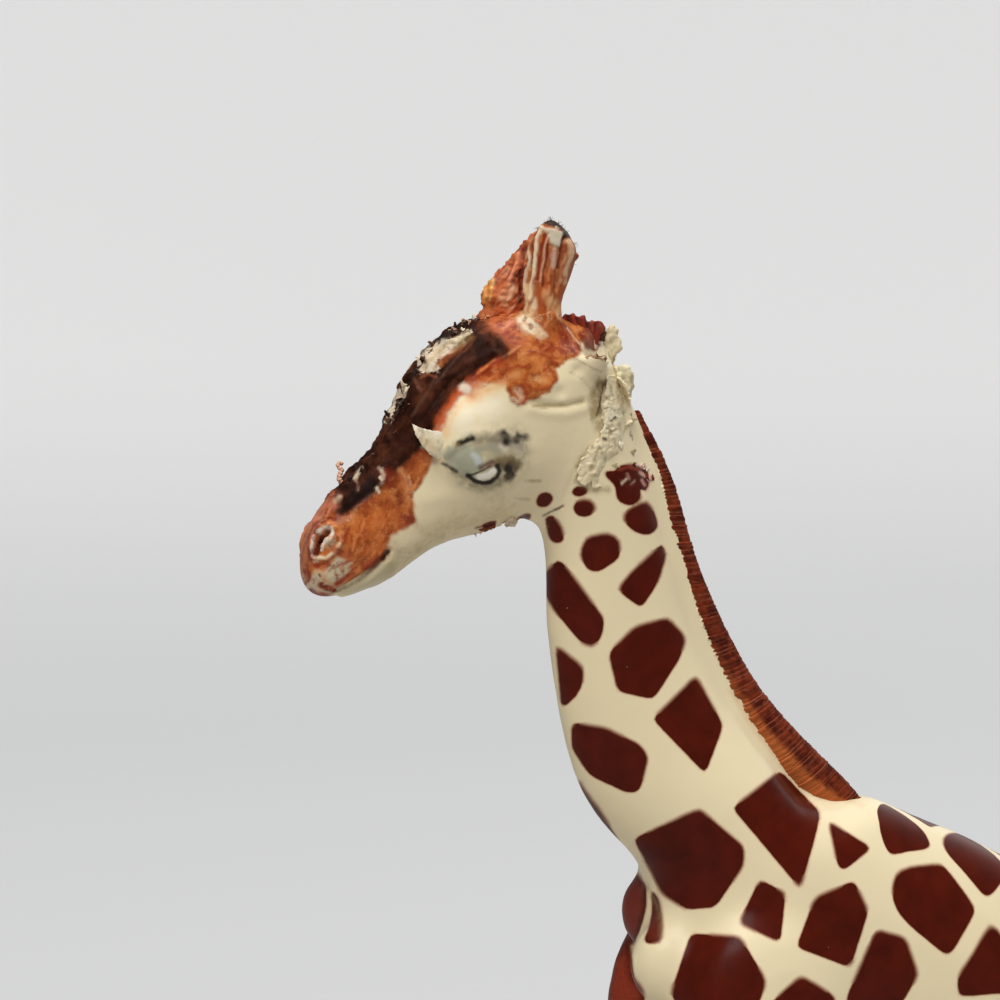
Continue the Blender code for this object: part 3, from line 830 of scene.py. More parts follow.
# %% Group: grain and scuffs of soft plastic
def make_plastic_wear():
    """Height of a fine grain, a mask of fine scuffs, and a slow cloud for tint."""
    tree, given, out = new_group("plastic_wear", {"Scuffs": 0.5}, ("Grain", "Scuff", "Cloud"))
    place = object_place(tree)
    scratched = noise(tree, object_place(tree, (0.25, 1.0, 1.6)), 0.9, 5.0, 0.7)
    level = maths(tree, "MULTIPLY_ADD", given["Scuffs"], -0.14, 0.74)
    feed(tree, out, {
        "Grain": blend(tree, 0.6, noise(tree, place, 0.35, 2.0), noise(tree, place, 2.5, 3.0)),
        "Scuff": step(tree, maths(tree, "SUBTRACT", scratched, level), 0.0, 0.05),
        "Cloud": noise(tree, place, 14.0, 2.0),
    })
    return tree


PLASTIC_WEAR = make_plastic_wear()


def brushed_over(tree, colour):
    """The brushed colours over a colour, with the strokes' soft edges broken up a little."""
    cover = stored(tree, "cover")
    edge = maths(tree, "MULTIPLY", cover, maths(tree, "SUBTRACT", 1.0, cover))
    grain = maths(tree, "SUBTRACT", noise(tree, object_place(tree), 0.5, 3.0), 0.5)
    cover = maths(tree, "MULTIPLY_ADD", maths(tree, "MULTIPLY", edge, grain), 3.0, cover)
    tint = add_node(tree, "ShaderNodeAttribute", attribute_name="brush").outputs["Color"]
    return tinted(tree, colour, tint, add_node(tree, "ShaderNodeClamp", {"Value": cover}).outputs[0])


print(PLASTIC_WEAR.name, len(PLASTIC_WEAR.nodes), "nodes")

# %% Colours, as linear light
CREAM = (0.84, 0.73, 0.49, 1)
CREAM_WARM = (0.79, 0.66, 0.4, 1)
MAROON = (0.088, 0.008, 0.0025, 1)
MAROON_DARK = (0.052, 0.005, 0.0015, 1)
SPOT_RIM = (0.4, 0.105, 0.040, 1)
RUST = (0.42, 0.105, 0.022, 1)
RUST_LIGHT = (0.56, 0.175, 0.040, 1)
RUST_DARK = (0.21, 0.034, 0.008, 1)
RUST_RUBBED = (0.66, 0.25, 0.075, 1)
RUST_STAIN = (0.2, 0.034, 0.010, 1)
BLAZE = (0.022, 0.0055, 0.0025, 1)
BLAZE_LIGHT = (0.085, 0.024, 0.010, 1)
BLAZE_DARK = (0.010, 0.003, 0.002, 1)
BARE = (0.66, 0.58, 0.44, 1)
BARE_DARK = (0.46, 0.31, 0.2, 1)
OLIVE = (0.42, 0.38, 0.24, 1)
HOOF = (0.13, 0.085, 0.055, 1)
# painted shade for the sunk places of the head
SUNK_SKIN_SHADE = (0.1, 0.05, 0.025, 1)


# %% The spotted coat
def make_spotted_coat():
    material, tree, shader = new_material("spotted_coat", 0.36, 0.2, 0.07)
    place = object_place(tree)
    wear = use_group(tree, PLASTIC_WEAR, {"Scuffs": 0.35})
    colour = tinted(tree, CREAM, CREAM_WARM, wear["Cloud"], 0.5)
    softness = blend(tree, stored(tree, "spot_soft"), 0.09, 0.34)
    rim = painted(tree, "spot", maths(tree, "ADD", softness, 0.12), 0.16, 900.0, -0.12)
    colour = tinted(tree, colour, SPOT_RIM, rim, 0.9)
    spot = painted(tree, "spot", softness, 0.16, 900.0, -0.05)
    maroon = tinted(tree, MAROON, MAROON_DARK, step(tree, noise(tree, place, 3.0, 2.0), 0.25, 0.9))
    colour = tinted(tree, colour, maroon, spot)
    chips = step(tree, noise(tree, place, 0.55, 3.0), 0.765, 0.785)
    colour = tinted(tree, colour, CREAM_WARM, chips, spot, 0.6)
    colour = tinted(tree, colour, HOOF, painted(tree, "hoof", 0.25, 0.5, 900.0))
    feed(tree, shader, {
        "Base Color": brushed_over(tree, colour),
        "Roughness": blend(tree, wear["Scuff"], 0.36, 0.55),
        "Coat Weight": blend(tree, spot, 0.2, 0.06),
        "Normal": bump(tree, maths(tree, "MULTIPLY_ADD", spot, 0.25, wear["Grain"]), 0.25, 0.08),
    })
    return material


SPOTTED_COAT = make_spotted_coat()
print(SPOTTED_COAT.name, len(SPOTTED_COAT.node_tree.nodes), "nodes")


# %% Put a finished piece in its place
def finish_piece(name, mesh, material, nodes=()):
    """Scales a mesh from mm, makes it a piece at the origin and hands it to the frame."""
    mesh.transform(Matrix.Scale(MM, 4))
    mesh.materials.clear()
    mesh.materials.append(material)
    mesh.shade_smooth()
    item = link(name, mesh)
    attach(item, "root")
    if nodes:
        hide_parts(*nodes)
    mesh.calc_loop_triangles()
    print(name, len(mesh.loop_triangles), "triangles")


# %% [markdown]
# ## The body moulding
# Barrel, neck and chest are one hollow-free casting. The leg pads are separate castings that stand a little
# proud, so the skin is pressed in under them and their rims draw the thin seams seen on the real shoulder.

# %% Legs with hooves
HOOF_TOP = 5.6  # mm up


def leg_skin(node):
    mesh = remeshed(leg_faceted[node], 0.62)
    points, edges = points_of(mesh), edges_of(mesh)
    hoof = ramp(-points[:, 2], -7.5, -5.0)
    rounded(mesh, leg_faceted[node], 0.5 * (1 - 0.85 * hoof), 16, 10)
    mesh = subdivided(mesh)
    points, normals = surface_of(mesh)
    groove = np.exp(-(((points[:, 2] - HOOF_TOP) / 0.35) ** 2))
    points -= normals * groove[:, None] * 0.22
    points[:, 2] = np.where(points[:, 2] < 0.35, np.maximum(points[:, 2] - 0.35, 0) * 0.5, points[:, 2])
    move_points(mesh, points)
    return mesh


FAR_OFF = 10  # mm, where there is none of that paint
leg_trees = []
for node in LEG_NODES:
    mesh = leg_skin(node)
    leg_trees.append(search_tree(mesh))
    store_coat(mesh, *spot_paint(*surface_of(mesh)), points_of(mesh)[:, 2] - HOOF_TOP)
    finish_piece(f"{node}_casting", mesh, SPOTTED_COAT, [node])

# %% Press the body in under the leg pads
points, normals = surface_of(body_mesh)
for number, (point, normal) in enumerate(zip(points, normals)):
    if point[2] > 100 or abs(point[1]) < 5:
        continue
    for tree in leg_trees:
        place, pad_normal = tree.find_nearest(Vector(point), 2.0)[:2]
        if place is None:
            continue
        proud = (Vector(point) - place).dot(pad_normal)
        if proud < 0.25:
            points[number] -= normal * min(0.25 - proud, 1.2) * 0.8
move_points(body_mesh, points)
store_coat(body_mesh, *spot_paint(*surface_of(body_mesh)), FAR_OFF)

# %% Strokes on neck and chest
# Painted shadow in the hollow that runs from the torn ear down the nape, over head and neck alike; the strokes also
# sink it
NAPE_HOLLOW_SHADOW_STROKES = (
    (0x8C764A, 0.8, 4, 7, (601, 382, 596, 396, 595, 412), -0.25),
    (0x54381A, 0.95, 2.6, 4, (604, 384, 601, 394, 600, 404, 600, 413), -0.25),
    (0xA08E64, 0.75, 4, 6, (597, 412, 600, 428)),
)
NECK_STROKES = (
    # painted light: the far chest spots, lit from below, lighter and redder than the near ones
    (0x7A342A, 0.8, 0, 3, (627, 874, 637, 880, 643, 890, 643, 908, 637, 928, 632, 940, 624, 932, 621, 900)),
    (0x702E22, 0.6, 0, 3, (648, 932, 655, 910, 659, 918, 660, 940, 648, 940)),
    (0x923A24, 0.75, 0, 6, (614, 962, 625, 950, 631, 978, 640, 992, 642, 1016, 606, 1016)),
    # painted shade in the crease of the chest, which the stroke also sinks
    (0x96805C, 0.5, 1.6, 3, (645, 884, 652, 896, 658, 907, 660, 920, 660, 936), -0.1),
    (0xD69660, 0.45, 1, 5, (732, 692, 748, 721, 787, 771, 823, 790, 862, 806)),
    *NAPE_HOLLOW_SHADOW_STROKES,
    (0xBE8C82, 0.7, 1, 1.6, (627, 474, 629, 479), 0.06),
    (0xCEAA96, 0.75, 0.8, 1.2, (632, 484, 635, 481), 0.06),
    (0xDEB096, 0.8, 1.3, 1.4, (640, 472, 645, 476), -0.05),
    (0xC88C78, 0.8, 1, 1.4, (642, 480, 645, 485), -0.05),
    (0x964230, 0.8, 1.4, 1.8, (618, 470, 628, 467, 638, 470), 0.1),
    (0x5C1E16, 0.85, 1.2, 1.4, (619, 477, 623, 484, 631, 486, 638, 482), -0.12),
    (0xDCCAAC, 0.85, 0.9, 1.2, (622, 484, 626, 479)),
    (0x402212, 0.9, 1, 1.4, (543, 516, 553, 511, 563, 506), -0.1),
    # painted shade along the lower torn edge, in two small holes and in the creases of the strip
    (0x96845C, 0.55, 2.4, 4, (588, 448, 580, 466, 576, 480, 590, 489, 608, 490)),
    (0x3A2E1C, 0.85, 1, 1.6, (611, 421, 615, 417)),
    (0x4C3A24, 0.8, 1.6, 1.8, (604, 438, 606, 440)),
    (0xB09E76, 0.45, 1.4, 2.4, (606, 402, 615, 406, 626, 400), -0.08),
    (0xB09E76, 0.45, 1.2, 2.4, (609, 424, 617, 418, 624, 410), -0.08),
)
brush(body_mesh, NECK_STROKES, 12, 0.3)
finish_piece("body_moulding", body_mesh, SPOTTED_COAT, ["trunk"])

# %% [markdown]
# ## The head
# The head carries everything the photo is about: lips, nostril, eye, brow and the gnawed blaze.
# Each form is a line or a lump in the picture that pushes the skin out or in, mirrored to the far side.
# That is how a sculptor works a soft model: the big form first, then folds laid over it.

# %% Forms of the face: lines in the picture, height in mm and half width in pixels
FACE_LINES = (
    ((335, 592, 344, 588, 354, 582, 365, 575, 375, 566, 383, 558, 389, 551), -0.55, 2.4),
    ((338, 585, 350, 578, 362, 570, 372, 562, 380, 553), 0.2, 3.6),
    ((342, 594, 356, 588, 370, 580, 381, 571, 389, 562), 0.28, 4.2),
    ((328, 530, 323, 536, 319, 543, 316, 549, 314, 555), -1.0, 2.4),
    ((313, 556, 312, 546, 314, 537, 320, 529, 328, 525, 335, 528), 0.34, 3.0),
    ((325, 538, 321, 542, 323, 547), 0.3, 2.0),
    ((315, 558, 326, 559, 335, 552, 341, 543), 0.26, 3.4),
    ((446, 454, 456, 444, 468, 437, 484, 434, 500, 435, 514, 440, 526, 448), 0.2, 6.0),
    ((449, 460, 460, 450, 474, 444, 490, 442, 506, 444, 520, 450), -0.08, 3.4),
    ((452, 470, 462, 481, 476, 489, 490, 491, 504, 486, 516, 476, 525, 463), 0.12, 5.0),
    ((467, 473, 475, 480, 485, 483, 494, 480, 500, 473, 498, 465), -0.1, 2.4),
    ((533, 401, 547, 405, 565, 406, 583, 401), -0.28, 3.2),
    ((530, 410, 548, 414, 566, 415, 584, 410), 0.14, 5.0),
    ((426, 500, 446, 496, 468, 497, 492, 502, 516, 505), 0.14, 9.0),
    ((396, 520, 420, 534, 446, 532), -0.12, 8.0),
)
# Lumps: middle in the picture, radii in pixels, height in mm
FACE_LUMPS = (
    (478, 415, 36, 20, 0.62), (487, 462, 30, 19, 0.34), (548, 462, 34, 34, 0.22), (350, 548, 26, 18, 0.16),
    (326, 578, 16, 12, 0.16), (430, 470, 22, 22, -0.22), (425, 362, 20, 16, 0.2), (545, 385, 26, 14, 0.18),
    (598, 350, 15, 13, -0.95),
)
# Dents of teeth in the picture: middle, radius in pixels, depth in mm
TOOTH_MARKS = (
    (352, 470, 7, 0.35), (371, 455, 6, 0.45), (392, 404, 6, 0.55), (402, 394, 5, 0.4), (420, 366, 7, 0.45),
    (436, 349, 6, 0.4), (459, 333, 6, 0.45), (345, 512, 5, 0.3), (443, 388, 5, 0.25), (402, 556, 5, 0.22),
    (420, 548, 4, 0.2), (446, 537, 5, 0.25), (520, 521, 5, 0.22), (309, 590, 4, 0.25), (318, 516, 5, 0.25),
    (560, 392, 6, 0.25), (578, 370, 6, 0.35), (590, 352, 7, 0.45),
)
BLAZE_OUTLINE = (
    512, 350, 499, 360, 484, 371, 468, 381, 452, 401, 435, 427, 421, 446, 404, 463, 392, 475, 380, 486, 366, 497,
    350, 509, 340, 513, 331, 506, 326, 496, 340, 478, 358, 460, 370, 440, 374, 415, 388, 390, 402, 372, 408, 350,
    436, 326, 460, 312, 478, 312, 494, 330,
)


def head_distance(places, outlines):
    """Distance outside the outlines in mm, below zero inside, on both sides of the head."""
    seen, hidden, facing = places
    near = np.min([outside(seen, outline) for outline in outlines], axis=0)
    far = np.min([outside(hidden, outline) for outline in outlines], axis=0)
    return (far + (near - far) * facing) * PIXEL


# %% Shape the face
points, normals = surface_of(head_mesh)
seen = to_picture(folded(points))
offset = np.zeros(len(points))
for line, height, width in FACE_LINES:
    offset += height * np.exp(-((along(seen, line) / width) ** 2))
for x, y, across, up, height in FACE_LUMPS:
    reach = norm((seen - (x, y)) / (across, up), axis=1)
    offset += height * np.exp(-(reach**2))
places = both_sides(points, normals)
for x, y, radius, depth in TOOTH_MARKS:
    reach = norm(places[0] - (x, y), axis=1) / radius
    offset -= depth * np.exp(-(reach**2)) * places[2]
blaze = head_distance(places, (BLAZE_OUTLINE,))
gnawed = ramp(-blaze, -0.3, 0.5)
slope = np.stack([points @ (0.7, 0.1, 0.7) / 3.2, points[:, 1], points @ (-0.7, 0, 0.7)], axis=1)
rim = ramp(seen[:, 0] - np.interp(seen[:, 1], (315, 366, 425, 497, 575), (478, 418, 386, 334, 301)), 26, 4)
offset += gnawed * (0.15 * roughness(slope, 0.8, 21, 3) + rim * 0.3 * roughness(points, 1.0, 22, 3))
offset -= gnawed * 0.34 * ramp(roughness(points, 2.1, 31, 2), 0.35, 0.9)
offset += 0.012 * roughness(points, 0.9, 51, 2)
cut_edge = ramp(towards_head(points), 0.02, 0.9)
move_points(head_mesh, points + normals * (offset * cut_edge)[:, None])

# %% Painted areas of the head, in the picture
RUST_AREAS = (
    (434, 453, 428, 470, 421, 485, 413, 494, 413, 511, 415, 521, 402, 530, 391, 536, 388, 549, 380, 559, 366, 572,
     350, 582, 337, 590, 325, 606, 300, 604, 286, 575, 290, 545, 305, 512, 324, 488, 350, 466, 380, 450, 404, 440),
    (478, 304, 520, 296, 566, 300, 588, 330, 577, 357, 565, 362, 556, 370, 558, 380, 550, 390, 538, 399, 522, 403,
     510, 396, 504, 386, 494, 384, 480, 380, 474, 374, 490, 366, 508, 351, 500, 338, 480, 328),
)
BARE_AREAS = (
    (421, 354, 431, 346, 442, 341, 450, 338, 458, 333, 466, 329, 471, 329, 470, 335, 465, 340, 466, 344, 460, 348,
     454, 351, 451, 355, 443, 357, 438, 360, 440, 367, 438, 373, 430, 373, 422, 375, 418, 369, 419, 361),
    (386, 398, 396, 388, 404, 386, 408, 392, 400, 404, 393, 416, 387, 425, 383, 418),
    (380, 469, 385, 468, 386, 477, 383, 483, 380, 478),
)
LIP_AREA = (
    (338, 593, 352, 586, 366, 577, 378, 567, 388, 556, 396, 566, 393, 577, 376, 587, 359, 592),
)
print(len(RUST_AREAS) + len(BARE_AREAS) + len(LIP_AREA), "painted areas")

# %% [markdown]
# ## Brush strokes on the head
# Each stroke has its tint on screen, its strength, half width and softness in pixels, its line in the picture
# and, where it has any, its relief in mm. A stroke with no width fills its line. Later strokes lie on earlier ones,
# so every part of the head goes from its broad tones to its finest cracks.

# %% Places that seeded streaks fill, and the broad shades
MUZZLE = (
    432, 458, 420, 486, 412, 496, 413, 519, 398, 529, 388, 546,
    366, 568, 346, 578, 338, 556, 346, 524, 382, 500, 404, 472,
)
CROWN = (
    490, 318, 520, 306, 560, 304, 562, 330, 574, 350, 554, 368,
    556, 384, 536, 398, 512, 396, 500, 378, 508, 352,
)
NOSE_TIP = (330, 506, 344, 520, 338, 536, 312, 566, 304, 570, 304, 550, 312, 526)
SHADE_STROKES = (  # light on the brow and shade along the jaw
    (0xF0E7D2, 0.55, 10, 12, (462, 424, 476, 411, 494, 404)),
    (0xB09A6E, 0.32, 12, 14, (392, 566, 420, 548, 460, 526, 500, 514)),
)
print(len(SHADE_STROKES), "strokes")

# %% Rust rubbed and combed along the muzzle
MUZZLE_STROKES = (
    *streaks(1, 46, MUZZLE, (-0.45, 1), (6, 18), (0.5, 1.7), (0x8A3416, 0xA24820, 0xE2945C), 0.6),
    (0xC8642A, 0.6, 11, 12, (374, 524, 386, 512, 398, 514)),
    (0xC05E28, 0.55, 9, 10, (352, 542, 366, 550, 378, 546)),
    (0x762A12, 0.85, 6, 5, (387, 474, 394, 488, 400, 502)),
    (0x843216, 0.55, 5, 7, (360, 506, 372, 504, 388, 504)),
    (0xA64A22, 0.65, 6, 6, (416, 466, 423, 462, 429, 456)),
    (0xA04620, 0.75, 5, 5, (393, 524, 402, 523, 410, 520)),
    (0xD89260, 0.7, 3, 3, (402, 470, 407, 484, 409, 498)),
    (0xECC498, 0.65, 1.4, 2, (408, 476, 411, 492)),
    (0x8C341A, 0.8, 4, 4, (364, 569, 373, 562, 382, 554)),
    *streaks(2, 34, MUZZLE, (-0.35, 1), (5, 14), (0.4, 1.1), (0x7E2C14, 0xDC8A52, 0xAA4E24), 0.6),
)
print(len(MUZZLE_STROKES), "strokes")

# %% Nose, nostril and lips
NOSE_STROKES = (
    (0xC87458, 0.75, 7, 7, (307, 536, 315, 518, 324, 507, 334, 500)),
    (0x742618, 0.9, 2.2, 2.4, (315, 531, 320, 524, 328, 519, 335, 519)),
    (0x7E2E1C, 0.8, 2.4, 3, (336, 548, 344, 541, 343, 530)),
    (0x963C26, 0.7, 1.6, 3, (302, 562, 305, 545, 310, 530)),
    *streaks(3, 16, NOSE_TIP, (-0.4, 1), (5, 12), (0.5, 1.3), (0x963A22, 0xE0A082), 0.5),
    (0x8C341E, 0.8, 3, 3, (306, 569, 309, 560, 312, 556)),
    (0xC46C3E, 0.7, 4, 4, (340, 548, 346, 556, 352, 566)),
    (0xCEC0A0, 0.95, 0, 2.5, (330, 563, 338, 557, 345, 560, 351, 568, 347, 577, 339, 581, 334, 584, 326, 585,
     317, 583, 311, 577, 315, 570, 322, 569), 0.04),
    *streaks(4, 12, (318, 562, 348, 560, 350, 582, 316, 584), (0.6, 1), (3, 7), (0.3, 0.8), (0xAA5C3C, 0x964C30), 0.6),
    (0x963C24, 0.85, 3, 2.5, (318, 563, 326, 566)),
    (0xE2D2AA, 0.75, 4, 5, (304, 584, 308, 592, 318, 598)),
    (0x963C22, 0.9, 3, 2.5, (307, 573, 308, 581)),
    (0xD6C6A6, 0.9, 0, 3,
     (303, 574, 312, 578, 322, 588, 334, 586, 346, 580, 340, 590, 324, 600, 308, 596, 301, 584), 0.02),
    (0x9C4228, 0.9, 2.6, 2.4, (313, 594, 320, 596, 327, 596)),
    (0x782C1A, 0.92, 2.8, 2, (321, 585, 327, 588.5, 334, 590)),
    (0x8A3822, 0.88, 2.4, 2, (338, 583, 343, 579)),
    (0x963C26, 0.85, 1.6, 1.8, (346, 576, 352, 572, 357, 567)),
    (0x923A24, 0.85, 2, 1.8, (305, 572, 307.5, 578, 306, 584)),
    (0x964C2E, 0.7, 2.6, 3, (337, 585, 343, 580, 352, 573)),
    (0x462C1A, 0.9, 1.2, 1, (319.5, 574.5, 320.5, 576)),
    (0x9C8264, 0.9, 3.6, 2.5, (327, 545.5, 335, 541), -0.1),
    (0xE8DCCA, 0.95, 1.4, 1.2, (312.8, 555.7, 311.9, 546, 312.6, 539.6, 314, 536), 0.06),
    (0xEEE4D2, 0.97, 2, 1.3,
     (318.9, 532, 325, 527.3, 331.6, 528.3, 333, 533.6, 329.6, 538.7, 324.4, 541.5, 321.4, 545.2, 322, 549.5), 0.1),
    (0xDECDAA, 0.92, 1.8, 1.8, (316, 557.4, 326, 558.2, 333, 552.6, 339.5, 543.8), 0.05),
    (0x622014, 0.95, 3.2, 1.6, (321, 538, 317.5, 547, 315.6, 553), -0.12),
    (0x240D09, 0.98, 1.8, 1.1, (326.8, 531.6, 322.4, 537.2, 319.6, 542.6), -0.2),
)
print(len(NOSE_STROKES), "strokes")

# %% The soft edge between blaze and brow
BROW_STROKES = (
    (0xEEBE88, 0.7, 2.6, 5.5, (446, 434, 453, 416, 463, 402, 475, 392, 490, 385, 504, 384)),
    (0xEAB880, 0.6, 5, 6, (470, 400, 483, 393, 500, 386)),
    (0xC45C2E, 0.8, 5.5, 6, (468, 391, 478, 383, 490, 376, 504, 370)),
    (0xC05426, 0.92, 3.6, 4, (433, 442, 438, 428, 445, 413, 454, 399, 467, 386, 481, 375, 500, 363)),
    (0x8E2E14, 0.85, 3.6, 3.5, (472, 380, 484, 371, 500, 360)),
    (0xCE703A, 0.75, 2.4, 3, (478, 386, 490, 378, 504, 373)),
    *streaks(12, 14, (470, 376, 498, 356, 508, 380, 480, 392), (0.8, -0.5), (5, 12), (0.5, 1.2),
     (0x7C2812, 0xDE824A), 0.6),
)
print(len(BROW_STROKES), "strokes")

# %% Crown and the feet of the horns
CROWN_STROKES = (
    (0xC86840, 0.6, 8, 9, (492, 322, 506, 330, 516, 340)),
    *streaks(11, 26, (486, 318, 520, 308, 524, 344, 512, 350, 496, 334), (0.7, -0.6), (6, 18), (0.5, 1.4),
     (0x92321A, 0xE4926C, 0xB05432), 0.65),
    (0xB2562A, 0.7, 9, 8, (538, 314, 548, 330, 558, 344)),
    (0x8C3016, 0.75, 5, 5, (545, 346, 558, 353, 570, 350)),
    (0xCE7A42, 0.6, 5, 5, (530, 352, 545, 364, 548, 378)),
    *streaks(5, 34, CROWN, (0.7, -0.5), (5, 16), (0.5, 1.5), (0x8C3018, 0xA64824, 0xE49664), 0.65),
    (0x96381C, 0.85, 1.9, 1.8, (511, 396, 509, 388, 514, 383, 522, 386, 527, 394, 525, 402, 518, 404, 512, 400), 0.1),
    (0xDEB896, 0.8, 2.8, 2.5, (517, 390, 521, 397), -0.08),
    (0x9E3E1C, 0.8, 1.8, 2, (527, 374, 525, 382, 531, 389, 540, 390, 549, 387, 555, 380, 553, 372, 545, 369), 0.1),
    (0xDEA068, 0.75, 3, 3, (535, 379, 545, 380), -0.06),
    (0x92361A, 0.75, 1.6, 2, (500, 378, 506, 370, 517, 366, 527, 368), 0.08),
    (0xD89664, 0.65, 2.4, 3, (509, 377, 518, 374)),
    (0x92341A, 0.75, 1.6, 2, (524, 356, 534, 352, 546, 356, 556, 364), 0.08),
    (0xEEBE8C, 0.8, 4, 4, (524, 306, 528, 312, 536, 318)),
    *streaks(13, 20, (522, 300, 562, 298, 566, 330, 524, 326), (-0.1, 1), (5, 12), (0.6, 1.6),
     (0xECC492, 0xAA5026, 0xDE9660), 0.65),
    (0xEEDEBC, 0.9, 0, 2.4, (516, 318, 521, 313, 529, 314, 533, 321, 539, 325, 541, 329, 546, 333, 549, 337, 542, 339,
     535, 336, 527, 335, 521, 330), 0.06),
    (0xD89E6E, 0.75, 1.2, 1.8, (524, 322, 530, 327, 536, 328), -0.04),
    (0xC47646, 0.75, 1.2, 1.8, (543, 336, 549, 337)),
    (0xAA542C, 0.7, 1.2, 1.8, (519, 325, 523, 331, 530, 335)),
    (0x842E18, 0.9, 0, 2.5, (556, 318, 564, 322, 572, 332, 583, 351, 574, 356, 566, 358, 560, 344), 0.12),
    (0xB0583C, 0.75, 0.9, 1.4, (562, 326, 569, 338, 574, 350), 0.05),
    (0xE8CEB4, 0.85, 0.6, 1, (566, 328, 572, 336, 579, 344), 0.04),
    (0x601E10, 0.8, 0.9, 1.4, (566, 336, 570, 346, 574, 353), -0.05),
    (0x7A2818, 0.92, 0, 1.6, (578, 334, 586, 325, 598, 328, 600, 344, 594, 351, 586, 349)),
    (0xB0604C, 0.75, 0.8, 1.2, (586, 332, 590, 340, 592, 348)),
)
print(len(CROWN_STROKES), "strokes")

# %% Bare patch and cracks of the blaze, with painted sheen, painted highlights and painted shade in a crevice
BLAZE_STROKES = (
    (0x844626, 0.85, 2.4, 3, (438, 364, 446, 359, 456, 354, 466, 347, 472, 338)),
    (0xB06E42, 0.7, 1, 2, (441, 366, 440, 358, 448, 354, 456, 350, 464, 345)),
    (0xCEB294, 0.7, 2.4, 3, (424, 368, 430, 358, 440, 350)),
    (0xBCAC84, 0.65, 1.4, 2, (430, 362, 438, 352, 446, 346), -0.05),
    (0x301A12, 0.9, 1.3, 1.8, (450, 360, 461, 352, 469, 343, 475, 332), -0.1),
    (0x705C2E, 0.75, 0.9, 1.3, (452, 343, 459, 343, 466, 337, 470, 331), -0.06),
    (0x745834, 0.7, 2.2, 2.4, (455, 347, 463, 343, 471, 337)),
    (0x38261C, 0.85, 1.2, 1.6, (443, 338, 452, 336, 460, 333, 469, 330), -0.08),
    (0xD6C4A0, 0.8, 1.2, 1.6, (452, 340, 460, 337, 468, 333), 0.06),
    (0x5C3822, 0.9, 1.6, 1.5, (423.5, 360, 424.5, 362), -0.08),
    (0x965238, 0.8, 1.4, 1.8, (421, 377, 428, 374, 436, 377)),
    (0x96604C, 0.45, 1.4, 2.6, (415, 379, 417, 385, 421, 390)),
    (0x281E1A, 0.95, 1.3, 1.3,
     (478, 316, 466, 324, 450, 333, 438, 339, 428, 346, 418.5, 356, 416.5, 367, 411, 380, 405, 390), 0.04),
    (0xDECEB6, 0.95, 4.6, 2.2, (464, 387, 467, 389), 0.05),
    # painted sheen on the blaze
    (0x42221A, 0.45, 4, 6, (430, 404, 416, 430, 396, 452, 374, 474)),
    # painted highlights on its ridges, which the strokes also raise
    (0x684A3E, 0.5, 1, 2, (438, 372, 428, 392, 412, 416), 0.08),
    (0x684A3E, 0.45, 1, 2, (462, 352, 448, 368, 436, 384), 0.08),
    # painted shade in a crevice, which the stroke also sinks
    (0x140805, 0.7, 1.6, 2, (420, 420, 436, 398, 452, 378, 470, 366), -0.14),
    (0x1C0E0A, 0.92, 7.5, 4, (347, 504, 358, 496, 370, 486), -0.06),
    (0xCEBA9E, 0.85, 1.6, 1.8, (355, 478, 359, 472, 362, 468), 0.12),
    (0x966E5C, 0.8, 0.8, 1, (356, 481, 358, 485, 358, 490), 0.1),
    (0xC4A08C, 0.8, 1.6, 2, (379, 468, 384, 475, 382, 483), 0.1),
    (0xDEC8AA, 0.85, 1.5, 1.2, (377, 488, 379, 492), 0.06),
    (0xCEB296, 0.9, 2.4, 1.8, (335, 501, 340, 497), 0.08),
)
print(len(BLAZE_STROKES), "strokes")

# %% Painted shade in the creases and cracks beside the torn ear
NAPE_STROKES = (
    (0xAA986A, 0.75, 1.5, 2.2, (533, 403, 548, 406, 566, 405, 583, 402)),
    (0x8A7648, 0.7, 1.2, 1.3, (534, 406, 545, 407)),
    *NAPE_HOLLOW_SHADOW_STROKES,
    (0x968258, 0.8, 2.6, 3, (595, 441, 591, 448), -0.1),
    (0x8C7D52, 0.65, 1.6, 2, (588, 449, 582, 457, 577, 466)),
    (0x968868, 0.6, 0.8, 1, (574, 358, 585, 364, 592, 368, 602, 372), -0.04),
    (0xA09270, 0.45, 0.7, 1, (570, 372, 582, 379, 590, 388), -0.03),
)
print(len(NAPE_STROKES), "strokes")

